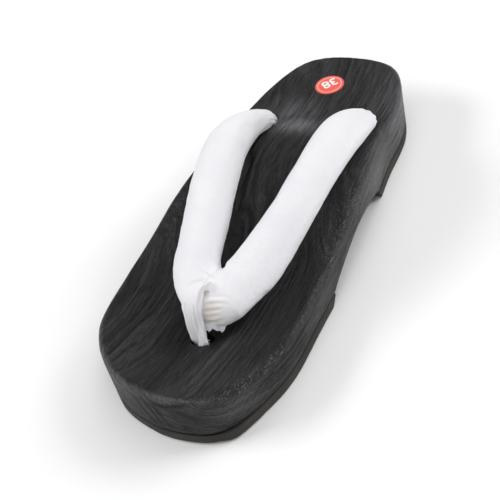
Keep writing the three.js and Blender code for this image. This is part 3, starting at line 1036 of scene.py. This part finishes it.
def place_on_sweep(points, sweep):
    """Where each point lies along and around a sweep, and how far out in half sizes."""
    nearest = np.empty(len(points), int)
    for start in range(0, len(points), POINTS_AT_ONCE):
        part = slice(start, start + POINTS_AT_ONCE)
        nearest[part] = np.linalg.norm(points[part, None] - sweep.centre[None], axis=2).argmin(axis=1)
    step = sweep.run[1:] - sweep.run[:-1]
    ahead = ((points - sweep.centre[nearest]) * sweep.way[nearest]).sum(axis=1)
    index = np.clip(nearest + ahead / step[np.minimum(nearest, len(step) - 1)], 0, len(sweep.run) - 1)

    def at_index(values):
        low = np.minimum(index.astype(int), len(values) - 2)
        share = index - low
        if values.ndim == 2:
            share = share[:, None]
        return values[low] * (1 - share) + values[low + 1] * share

    out = points - at_index(sweep.centre)
    size = at_index(sweep.size)
    across = (out * at_index(sweep.side)).sum(axis=1) / size[:, 0]
    above = (out * at_index(sweep.up)).sum(axis=1) / size[:, 1]
    return at_index(sweep.run), np.arctan2(above, across), np.hypot(across, above), size


# %% Cloth map
def lay_cloth(made, along, around):
    """Writes a map in millimetres of cloth; around runs from 0 to 1 and may wrap in a face."""
    loops = np.empty(len(made.data.loops), int)
    made.data.loops.foreach_get("vertex_index", loops)
    u, v = along[loops], around[loops].copy()
    starts = np.empty(len(made.data.polygons), int)
    sizes = np.empty(len(made.data.polygons), int)
    made.data.polygons.foreach_get("loop_start", starts)
    made.data.polygons.foreach_get("loop_total", sizes)
    owner = np.repeat(np.arange(len(starts)), sizes)
    highest = np.maximum.reduceat(v, starts)[owner]
    v = np.where((highest > 0.75) & (v < 0.25), v + 1, v)
    layer = made.data.uv_layers.new(name="cloth")
    layer.data.foreach_set("uv", np.column_stack([u, v * CLOTH_ROUND_ARM]).ravel().astype(np.float32))


INNER_CLOTH_STARTS = 300
strap_points = points_of(strap)
on_outer = place_on_sweep(strap_points, outer_sweep)
on_inner = place_on_sweep(strap_points, inner_sweep)
is_inner = on_inner[2] < on_outer[2]
along, turn, _, half_size = (np.where(is_inner if a.ndim == 1 else is_inner[:, None], b, a)
                             for a, b in zip(on_outer, on_inner))
lay_cloth(strap, along + np.where(is_inner, INNER_CLOTH_STARTS, 0), (turn / (2 * math.pi)) % 1.0)
print("points on the inner arm:", int(is_inner.sum()))

# %% [markdown]
# Cloth that is drawn into a hole gathers into pleats, because the tube's round stays as long as it
# was. So the pleats are as deep as the section is narrow. The other folds are set from how the
# joint looks: soft troughs and ridges along short lines.

# %% Gathers and folds
GATHERS, GATHER_DEPTH = 13, 0.9
GATHERED_UP_TO = 120
FULL_HALF_WIDTH = 10.2
FOLD_STEPS = 40

STRAP_FOLDS = [
    Fold(-0.4, 0.9, [(182.2, -4.9, 40.8), (181.9, -0.8, 40.0), (183.7, 3.8, 39.9), (185.5, 5.6, 40.2)]),
    Fold(-2.4, 1.5, [(171.5, 2.2, 34.8), (174.0, 3.6, 37.3), (176.3, 4.9, 39.1), (178.0, 6.0, 40.0)]),
    Fold(0.35, 1.4, [(188.8, -8.0, 39.8), (187.0, -3.5, 41.0), (185.4, 0.0, 41.0), (184.4, 3.6, 40.8)]),
    Fold(-0.9, 0.7, [(192.1, -4.5, 39.6), (190.1, -2.8, 40.4), (188.2, -0.7, 40.6), (187.1, 2.1, 40.7)]),
    Fold(-0.5, 1.0, [(172.5, 2.4, 36.0), (177.4, 3.0, 38.6), (183.6, 4.9, 40.8), (187.6, 5.8, 41.1)]),
    Fold(-0.5, 0.9, [(196.5, 5.5, 39.2), (195.5, 8.4, 39.3), (194.4, 11.5, 38.8), (193.1, 14.9, 37.5)]),
    Fold(0.2, 0.8, [(197.8, 5.9, 38.5), (196.9, 9.2, 38.4), (195.5, 13.1, 37.4)]),
    Fold(-0.55, 0.7, [(199.0, 6.2, 37.6), (198.3, 9.1, 37.4), (197.0, 11.8, 37.1), (195.6, 15.1, 35.8)]),
    Fold(0.2, 0.8, [(200.1, 6.4, 36.6), (199.2, 9.7, 36.3), (197.5, 13.5, 35.5)]),
    Fold(-0.55, 0.7, [(200.9, 6.5, 35.3), (200.3, 9.4, 35.2), (199.1, 11.7, 35.0), (198.0, 13.5, 34.9)]),
    Fold(0.2, 0.8, [(201.4, 6.4, 34.1), (200.7, 9.8, 33.9), (199.2, 12.4, 33.8)]),
    Fold(-0.5, 0.7, [(201.9, 6.2, 32.7), (201.3, 8.8, 32.7), (200.6, 10.9, 32.8), (199.4, 12.6, 32.6)]),
    Fold(-0.5, 0.9, [(202.6, 6.0, 30.0), (202.0, 9.0, 30.0), (200.8, 11.5, 30.2), (199.0, 13.5, 30.4)]),
]
# Painted shade: thin warm beige lines along two creases on top of the joint.
CREASE_SHADE_LINES = [
    Fold(0.30, 0.5, [(182.2, -3.9, 40.8), (181.9, -0.8, 40.0), (183.7, 3.8, 39.9), (185.5, 5.6, 40.2)]),
    Fold(0.42, 0.5, [(191.9, -4.7, 39.4), (189.7, -3.2, 39.6), (187.8, -1.2, 39.7), (186.7, 1.3, 39.9)]),
]
# Painted shade: warm beige patches in the pleats of the inner arm's nose.
PLEAT_SHADE_PLACES = [
    Spot(199.5, 8.0, 36.0, 3.5, 5.0, 4.0, 0.52),
    Spot(201.5, 8.0, 32.0, 3.0, 6.0, 3.5, 0.46),
]
STITCH_END = Spot(194.8, 6.6, 40.3, 0.7, 1.4, 1.2, 0.9)


def gather(made, turn, half_size):
    """Pleats round the heel ends, with uneven spacing."""
    narrow = smooth_between(FULL_HALF_WIDTH - half_size[:, 0], 0.6, 5.0)
    wave = np.cos(GATHERS * turn + 1.3 * np.sin(2 * turn) + 0.7 * np.sin(5 * turn))
    points = points_of(made)
    rear = points[:, 0] < GATHERED_UP_TO
    depth = GATHER_DEPTH * narrow * rear * (wave - 0.4) / 1.4
    move_points(made, points + normals_of(made) * depth[:, None])


def press_folds(made, folds):
    """Lays each line on the cloth and moves the points round it out or in by a soft ridge or trough."""
    for fold in folds:
        line, _ = catmull_rom(fold.line, np.linspace(0, 1, FOLD_STEPS))
        points = points_of(made)
        near = np.flatnonzero(np.abs(points - line.mean(axis=0)).max(axis=1) < LINE_NEAR)
        on_cloth = points[near][np.linalg.norm(points[near, None] - line[None], axis=2).argmin(axis=0)]
        evened = np.mean([np.roll(on_cloth, k, axis=0) for k in (-2, -1, 0, 1, 2)], axis=0)
        line = np.concatenate([on_cloth[:2], evened[2:-2], on_cloth[-2:]])
        apart = np.linalg.norm(points[near, None] - line[None], axis=2)
        place = apart.argmin(axis=1) / (FOLD_STEPS - 1)
        taper = np.sin(math.pi * np.clip(0.12 + 0.76 * place, 0, 1))
        push = fold.depth * taper * np.exp(-(apart.min(axis=1) / fold.width) ** 2)
        points[near] += normals_of(made)[near] * push[:, None]
        move_points(made, points)


gather(strap, turn, half_size)
# The painted crease shade is worked out before the folds move the points.
crease_shade = line_paint(strap, CREASE_SHADE_LINES)
press_folds(strap, STRAP_FOLDS)
# One number holds the painted shade of the pleats and creases and the stitch mark.
paint_spots(strap, "cream_shade_and_stitch", PLEAT_SHADE_PLACES + [STITCH_END], crease_shade)
finish_piece(strap, white_cotton, "strap_cloth", "strap")

# %% [markdown]
# ## The toe loop
# A strip of the same cotton is folded lengthwise, passed over the strap's joint and drawn down
# through the toe hole. Its front strand is a narrow rolled fold, and a flatter one lies behind it on
# the outer side. Both are swept along given paths, with a ridged section for the folds. A raw tab
# and a ruffled edge are left of the cover where the arms end.

# %% Toe loop strands
FRONT_STRAND = [
    Section(186.0, 2.6, 35.8, 2.0, 0.9, 20),
    Section(190.0, 2.8, 38.9, 2.5, 1.0, 24),
    Section(193.2, 3.0, 39.4, 2.5, 1.0, 26),
    Section(195.8, 3.3, 38.6, 2.4, 1.0, 24),
    Section(198.4, 3.5, 37.1, 2.2, 1.0, 22),
    Section(200.9, 3.7, 34.8, 2.1, 1.0, 20),
    Section(202.4, 4.3, 31.4, 2.0, 1.0, 18),
    Section(203.7, 4.8, 28.0, 2.1, 1.1, 16),
    Section(205.0, 4.9, 24.5, 2.2, 1.1, 14),
    Section(206.2, 4.8, 20.5, 2.2, 1.2, 10),
    Section(205.0, 4.2, 14.0, 2.0, 1.2, 0),
]
BACK_STRAND = [
    Section(191.0, -4.6, 33.0, 2.6, 1.0, 22),
    Section(195.6, -2.6, 35.4, 4.0, 1.3, 20),
    Section(199.4, -0.7, 34.6, 4.2, 1.3, 8),
    Section(201.6, 0.3, 31.4, 3.8, 1.3, -2),
    Section(203.0, 0.8, 27.6, 3.6, 1.2, -6),
    Section(203.8, 1.4, 24.0, 3.4, 1.2, -6),
    Section(204.1, 1.8, 20.5, 3.3, 1.2, -4),
    Section(203.5, 3.2, 14.0, 2.2, 1.2, 0),
]
RAW_TAB = [
    Section(189.6, 5.7, 41.2, 0.9, 0.5, 0),
    Section(192.0, 6.0, 41.7, 1.05, 0.55, -6),
    Section(194.6, 6.3, 40.7, 1.05, 0.5, -8),
]
TORN_END = [
    Section(204.2, 5.0, 29.0, 0.8, 0.5, 0),
    Section(205.6, 5.9, 26.6, 1.0, 0.5, 0),
    Section(206.6, 6.7, 24.6, 1.1, 0.45, 0),
    Section(207.2, 7.3, 23.0, 0.9, 0.35, 0),
]
STRAND_AROUND, STRAND_STEPS = 36, 90


def ridged_profile(ridges, depth):
    """A flat oval with folds along its two faces."""
    turn = np.arange(STRAND_AROUND) / STRAND_AROUND * 2 * math.pi
    across = np.cos(turn)
    lift = 1 - depth * (0.5 - 0.5 * np.cos(2 * math.pi * ridges * (across + 1) / 2))
    return np.column_stack([across, np.sin(turn) * lift])


def strand(name, rows, ridges, depth):
    sweep = sweep_frames(rows, STRAND_STEPS)
    made = swept_tube(name, sweep, ridged_profile(ridges, depth))
    along, turn, _, _ = place_on_sweep(points_of(made), sweep)
    lay_cloth(made, along, (turn / (2 * math.pi)) % 1.0)
    return made


def join(first, *others):
    """Makes the others a part of the first one's mesh."""
    with bpy.context.temp_override(active_object=first, selected_editable_objects=[first, *others]):
        bpy.ops.object.join()


toe_loop = strand("toe_loop", FRONT_STRAND, 2, 0.4)
join(toe_loop, strand("back_strand", BACK_STRAND, 3, 0.4), strand("raw_tab", RAW_TAB, 1, 0.2),
     strand("torn_end", TORN_END, 2, 0.4))

# %% Ruffled edge
RUFFLE_ALONG, RUFFLE_DOWN = 90, 10
RUFFLE_TOP = 31.0
RUFFLE_BACK, RUFFLE_OUT, RUFFLE_WAVE, RUFFLE_BULGE = 3.4, 0.8, 0.35, 0.5
COVER_THICKNESS = 0.4
RAW_EDGE = [(202.6, 5.4, 28.6), (203.2, 6.2, 26.2), (203.0, 7.2, 25.4), (202.6, 9.0, 26.7),
            (201.9, 10.5, 25.9), (200.9, 11.9, 23.9), (200.2, 13.0, 24.6), (199.4, 14.0, 26.6),
            (198.4, 14.8, 28.4)]


def ruffle():
    """The cover's raw edge under the inner arm: a short strip that waves more the lower it hangs."""
    edge, _ = catmull_rom(RAW_EDGE, np.linspace(0, 1, RUFFLE_ALONG))
    top = edge - (RUFFLE_BACK, RUFFLE_OUT, 0)
    top[:, 2] = RUFFLE_TOP
    down = np.linspace(0, 1, RUFFLE_DOWN)[None, :, None]
    points = top[:, None] * (1 - down) + edge[:, None] * down
    wave = np.sin(edge[:, 1] * 2.6) + 0.5 * np.sin(edge[:, 1] * 5.3 + 1)
    points[..., 0] += RUFFLE_WAVE * wave[:, None] * down[..., 0]
    points[..., 0] += RUFFLE_BULGE * np.sin(math.pi * down[..., 0])
    made = mesh_object("ruffle", to_frame(points.reshape(-1, 3)), grid_faces(RUFFLE_ALONG, RUFFLE_DOWN))
    thick = made.modifiers.new("thickness", "SOLIDIFY")
    thick.thickness = COVER_THICKNESS * MM
    apply_modifiers(made)
    lay_cloth(made, points_of(made)[:, 1], (points_of(made)[:, 2] / CLOTH_ROUND_ARM) % 1.0)
    return made


join(toe_loop, ruffle())

# %% [markdown]
# ## Loose threads
# The cut ends fray. A Geometry Nodes tree scatters short bent threads on a small patch of points, each
# one a thin tube with its own length and lean.

# %% Frayed threads tree
def thread_tree():
    tree, given = shape_tree("frayed_threads", {
        "Thread Length": 0.0026, "Thread Radius": 0.00009, "Spread": 0.9, "Seed": 4})
    line = add_node(tree, "GeometryNodeCurveQuadraticBezier", {
        "Resolution": 5, "Start": (0, 0, 0), "Middle": (0, 0, 0.5), "End": (0.25, 0.1, 1.0)})
    length = add_node(tree, "ShaderNodeCombineXYZ", {axis: given["Thread Length"] for axis in "XYZ"})
    sized = add_node(tree, "GeometryNodeTransform", {
        "Geometry": line.outputs[0], "Scale": length.outputs[0]})
    around = add_node(tree, "GeometryNodeCurvePrimitiveCircle", {
        "Resolution": 4, "Radius": given["Thread Radius"]})
    tube = add_node(tree, "GeometryNodeCurveToMesh", {
        "Curve": sized.outputs[0], "Profile Curve": around.outputs[0], "Fill Caps": True})
    lean = add_node(tree, "FunctionNodeRandomValue", {
        0: (-1.0, -1.0, -3.1), 1: (1.0, 1.0, 3.1), "Seed": given["Seed"]}, data_type="FLOAT_VECTOR")
    tilt = vector_maths(tree, "SCALE", lean.outputs[0], scale=given["Spread"])
    longer = add_node(tree, "FunctionNodeRandomValue", {
        2: 0.45, 3: 1.3, "Seed": given["Seed"]}, data_type="FLOAT")
    spread = add_node(tree, "GeometryNodeInstanceOnPoints", {
        "Points": given["Geometry"], "Instance": tube.outputs[0],
        "Rotation": vector_maths(tree, "ADD", tilt, (math.pi, 0, 0)), "Scale": longer.outputs[1]})
    return end_tree(tree, spread.outputs[0], given["Material"])


# %% Frayed ends
FrayedEnd = namedtuple("FrayedEnd", "middle reach threads")
FRAYED_ENDS = [FrayedEnd((206.9, 6.9, 24.0), 0.4, 14), FrayedEnd((207.0, 5.2, 22.4), 0.9, 14)]
THREAD_LENGTH = 2.4 * MM
random = np.random.default_rng(11)
fray_points = np.concatenate([random.normal(end.middle, (0.25, end.reach, 0.4), (end.threads, 3))
                              for end in FRAYED_ENDS])
frays = mesh_object("frays", to_frame(fray_points), [])
run_nodes(frays, thread_tree(), {"Thread Length": THREAD_LENGTH, "Material": white_cotton})
merge_points(frays)
lay_cloth(frays, points_of(frays)[:, 2], np.zeros(len(frays.data.vertices)))
print("threads:", len(fray_points), "with", len(frays.data.polygons), "faces")
join(toe_loop, frays)
# On the toe loop the number holds only the stitch mark, no painted shade.
paint_spots(toe_loop, "cream_shade_and_stitch", [STITCH_END])
finish_piece(toe_loop, white_cotton, "thong_cloth", "front_thong")

# %% [markdown]
# ## Knots
# Below each hole the cord that pulls the cloth tight is tied in a plain overhand knot, which sits in
# its recess. The knot's path is a trefoil, and a Geometry Nodes tree lays three strands round it with
# a twist, as rope is made.

# %% Twisted cord tree
STRANDS = 3


def cord_tree():
    tree, given = shape_tree("twisted_cord", {
        "Cord Radius": 0.0021, "Strand Radius": 0.0012, "Twist Length": 0.009})
    path = add_node(tree, "GeometryNodeMeshToCurve", {"Mesh": given["Geometry"]})
    even = add_node(tree, "GeometryNodeResampleCurve", {"Curve": path.outputs[0], "Count": 150})
    length = add_node(tree, "GeometryNodeSplineParameter").outputs["Length"]
    normal = add_node(tree, "GeometryNodeInputNormal").outputs[0]
    tangent = add_node(tree, "GeometryNodeInputTangent").outputs[0]
    sideways = vector_maths(tree, "CROSS_PRODUCT", tangent, normal)
    out = maths(tree, "SUBTRACT", given["Cord Radius"], given["Strand Radius"])
    turns = maths(tree, "MULTIPLY", maths(tree, "DIVIDE", length, given["Twist Length"]), 2 * math.pi)
    around = add_node(tree, "GeometryNodeCurvePrimitiveCircle", {
        "Resolution": 10, "Radius": given["Strand Radius"]})
    joined = add_node(tree, "GeometryNodeJoinGeometry")
    for number in range(STRANDS):
        angle = maths(tree, "ADD", turns, number * 2 * math.pi / STRANDS)
        parts = []
        for way, wave in ((normal, "COSINE"), (sideways, "SINE")):
            amount = maths(tree, "MULTIPLY", maths(tree, wave, angle), out)
            parts.append(vector_maths(tree, "SCALE", way, scale=amount))
        moved = add_node(tree, "GeometryNodeSetPosition", {
            "Geometry": even.outputs[0], "Offset": vector_maths(tree, "ADD", *parts)})
        tube = add_node(tree, "GeometryNodeCurveToMesh", {
            "Curve": moved.outputs[0], "Profile Curve": around.outputs[0], "Fill Caps": True})
        tree.links.new(tube.outputs[0], joined.inputs[0])
    return end_tree(tree, joined.outputs[0], given["Material"])


# %% Tie the knots
KNOT_WIDTH, KNOT_HEIGHT, KNOT_MIDDLE = 1.38, 1.9, 9.7
KNOT_OPEN_END = 0.18
KNOT_POINTS, CORD_POINTS = 90, 200
KNOT_TAIL = [(-2.2, 1.0, 8.2), (-4.0, 2.5, 6.8)]
UNDER_SEAT, UNDER_TOE = 21, 17


def knot_path(hole, top):
    """A cord from the hole, down through a trefoil and out as a short tail."""
    t = np.linspace(KNOT_OPEN_END, 2 * math.pi - KNOT_OPEN_END, KNOT_POINTS)
    x = hole.from_heel + KNOT_WIDTH * (np.sin(t) + 2 * np.sin(2 * t))
    y = hole.side + KNOT_WIDTH * (np.cos(t) - 2 * np.cos(2 * t))
    z = KNOT_MIDDLE - KNOT_HEIGHT * np.sin(3 * t)
    knot = np.column_stack([x, y, z])
    down = [(hole.from_heel, hole.side, top), (hole.from_heel, hole.side, top - 3)]
    tail = [(hole.from_heel + x, hole.side + y, z) for x, y, z in KNOT_TAIL]
    path, _ = catmull_rom(np.concatenate([down, knot[::6], tail]), np.linspace(0, 1, CORD_POINTS))
    return path


def tie_knot(name, hole, top):
    edges = [(i, i + 1) for i in range(CORD_POINTS - 1)]
    made = mesh_object(name, to_frame(knot_path(hole, top)), [], edges)
    run_nodes(made, tie_tree, {"Material": white_cotton})
    lay_cloth(made, points_of(made)[:, 0], (points_of(made)[:, 1] / CLOTH_ROUND_ARM) % 1.0)
    return made


tie_tree = cord_tree()
heel_knots = tie_knot("heel_knots", STRAP_HOLES["outer_heel"], UNDER_SEAT)
join(heel_knots, tie_knot("inner_knot", STRAP_HOLES["inner_heel"], UNDER_SEAT))
toe_knot = tie_knot("toe_knot", STRAP_HOLES["toe"], UNDER_TOE)
finish_piece(heel_knots, white_cotton, "strap_cloth")
finish_piece(toe_knot, white_cotton, "thong_cloth")

# %% [markdown]
# ## Size sticker
# A round glossy paper label with the plain size number lies on the heel seat and follows its curve.
# The disc is a fine round grid, its pale ring is part of the finish, and the number is a mesh cut from
# a text curve and laid just above the disc.

# %% Sticker finish
STICKER_FROM_HEEL, STICKER_SIDE = 25.1, -3.2
STICKER_RADIUS = 7.3
RING_RADIUS, RING_HALF_WIDTH = 6.0, 0.30
LABEL_RED, LABEL_PALE = (0.84, 0.10, 0.065), (0.80, 0.42, 0.38)
PRINT_WHITE, PRINT_GREY = (0.90, 0.88, 0.87), (0.82, 0.78, 0.77)


def label_finish():
    material, tree, shader = new_material(
        "red_label", Roughness=0.38, Specular_IOR_Level=0.45, Coat_Weight=0.25, Coat_Roughness=0.25)
    middle = to_frame([(STICKER_FROM_HEEL, STICKER_SIDE, 0)])[0]
    flat = drawn_out(tree, place_in_mm(tree), (1, 1, 0))
    away = add_node(tree, "ShaderNodeVectorMath", {
        0: flat, 1: (middle[0] / MM, middle[1] / MM, 0)}, operation="DISTANCE").outputs["Value"]
    off_ring = maths(tree, "ABSOLUTE", maths(tree, "SUBTRACT", away, RING_RADIUS))
    ring = remap(tree, off_ring, RING_HALF_WIDTH + 0.1, RING_HALF_WIDTH - 0.1)
    mottle = noise(tree, drawn_out(tree, place_in_mm(tree), (1.2, 1.2, 1.2)), detail=3)
    paper = mix_colours(tree, remap(tree, mottle, 0.3, 0.8, 0.0, 0.12), LABEL_RED, LABEL_PALE)
    tree.links.new(mix_colours(tree, ring, paper, LABEL_PALE), shader.inputs["Base Color"])
    fibre = noise(tree, drawn_out(tree, place_in_mm(tree), (3, 3, 3)), detail=3)
    tree.links.new(bump(tree, fibre, 0.03), shader.inputs["Normal"])
    return material


def print_finish():
    material, tree, shader = new_material("white_print", Roughness=0.45, Specular_IOR_Level=0.4)
    fibre = noise(tree, drawn_out(tree, place_in_mm(tree), (3, 3, 3)), detail=3)
    ink = colour_ramp(tree, fibre, (0.3, PRINT_WHITE), (0.8, PRINT_GREY))
    tree.links.new(ink, shader.inputs["Base Color"])
    tree.links.new(bump(tree, fibre, 0.02), shader.inputs["Normal"])
    return material


# %% Sticker
STICKER_RINGS, STICKER_ROUND = 14, 72
STICKER_LIFT, PRINT_LIFT = 0.16, 0.05


def sticker():
    """A disc of fine rings on the heel seat, with its edge turned down into the wood."""
    turn = np.arange(STICKER_ROUND) / STICKER_ROUND * 2 * math.pi
    radii = np.concatenate([[0.02], np.linspace(0.08, 1, STICKER_RINGS)]) * STICKER_RADIUS
    rings = [(r, STICKER_LIFT) for r in radii] + [(STICKER_RADIUS + 0.04, STICKER_LIFT - 0.06),
                                                 (STICKER_RADIUS + 0.05, -0.3)]
    points = np.array([(STICKER_FROM_HEEL + r * math.cos(a), STICKER_SIDE + r * math.sin(a), lift)
                       for r, lift in rings for a in turn])
    points[:, 2] += upper_height(points[:, 0])
    faces = grid_faces(len(rings), STICKER_ROUND, wrap=True) + [tuple(range(STICKER_ROUND))]
    made = mesh_object("size_sticker", to_frame(points), faces)
    merge_points(made)
    return made


# %% Number
NUMBER_HEIGHT = 6.0
NUMBER_MIDDLE = np.array([-1.0, -0.4])
READING_WAY = Vector((0.70, -0.71))


def number_print(words):
    """The number as a mesh, laid just above the sticker in its own reading direction."""
    curve = bpy.data.curves.new("number", "FONT")
    curve.body = words
    curve.align_x, curve.align_y = "CENTER", "CENTER"
    curve.offset = 0.022
    curve.extrude = 0.004
    text = bpy.data.objects.new("number", curve)
    bpy.context.scene.collection.objects.link(text)
    mesh = bpy.data.meshes.new_from_object(text.evaluated_get(bpy.context.evaluated_depsgraph_get()))
    bpy.data.objects.remove(text)
    flat = np.array([v.co for v in mesh.vertices])
    flat -= (flat.max(axis=0) + flat.min(axis=0)) / 2
    flat *= NUMBER_HEIGHT / np.ptp(flat[:, 1])
    read = np.array(READING_WAY.normalized())
    up = np.array([-read[1], read[0]])
    spot = np.array([STICKER_FROM_HEEL, STICKER_SIDE]) + NUMBER_MIDDLE
    spot = spot + flat[:, :1] * read + flat[:, 1:2] * up
    lift = np.where(flat[:, 2] > 0, PRINT_LIFT, -0.02) + STICKER_LIFT
    points = np.column_stack([spot, upper_height(spot[:, 0]) + lift])
    made = mesh_object("number_print", to_frame(points), [tuple(p.vertices) for p in mesh.polygons])
    merge_points(made)
    return made


finish_piece(sticker(), label_finish(), "stained_wood")
finish_piece(number_print("38"), print_finish(), "stained_wood")

# %% [markdown]
# ## Floor and light
# The photograph has the soft, nearly shadowless light of a product studio, which several large lamps
# around the object give. Here six large lights stand round a pale floor. Their powers were found by
# rendering the sandal under each light alone and mixing the pictures until the white cloth and the
# black wood were as bright as they should be all over. The surround is dim, so that the black wood
# keeps its depth and only its edges catch the light.

# %% Floor and light
FLOOR_REACH = 3.0
LIT_MIDDLE = Vector((0, 0, 0.02))
floor_corners = [(x * FLOOR_REACH, y * FLOOR_REACH, 0) for x, y in ((-1, -1), (1, -1), (1, 1), (-1, 1))]
floor = mesh_object("floor", floor_corners, [(0, 1, 2, 3)])
floor_paint, _, _ = new_material("floor_paint", Base_Color=(0.93, 0.93, 0.93, 1), Roughness=0.9)
floor.data.materials.append(floor_paint)


def soft_light(name, spot, size, power):
    """A rectangular light of the given size in metres that looks at the sandal."""
    light = bpy.data.objects.new(name, bpy.data.lights.new(name, "AREA"))
    light.data.shape = "RECTANGLE"
    light.data.size, light.data.size_y = size
    light.data.energy = power
    light.location = spot
    light.rotation_mode = "QUATERNION"
    light.rotation_quaternion = (LIT_MIDDLE - Vector(spot)).to_track_quat("-Z", "Y")
    bpy.context.scene.collection.objects.link(light)
    return light


soft_light("front_light", (0.95, 0.45, 1.15), (1.1, 1.1), 4.2)
soft_light("toe_light", (1.35, 0.5, 0.45), (1.0, 0.6), 4.5)
soft_light("outer_light", (0.5, -1.2, 0.9), (1.0, 0.6), 15.5)
soft_light("inner_light", (-0.8, 1.0, 0.8), (1.0, 0.8), 13)
soft_light("rear_light", (-1.3, 0, 0.9), (1.0, 0.8), 4)
soft_light("top_light", (-0.25, 0.15, 1.6), (1.4, 1.4), 8)

world = bpy.data.worlds.new("studio")
bpy.context.scene.world = world
world.use_nodes = True
backdrop = world.node_tree.nodes["Background"]
backdrop.inputs["Color"].default_value = (1.0, 1.0, 1.0, 1)
backdrop.inputs["Strength"].default_value = 0.06
bpy.context.scene.view_settings.view_transform = "Standard"
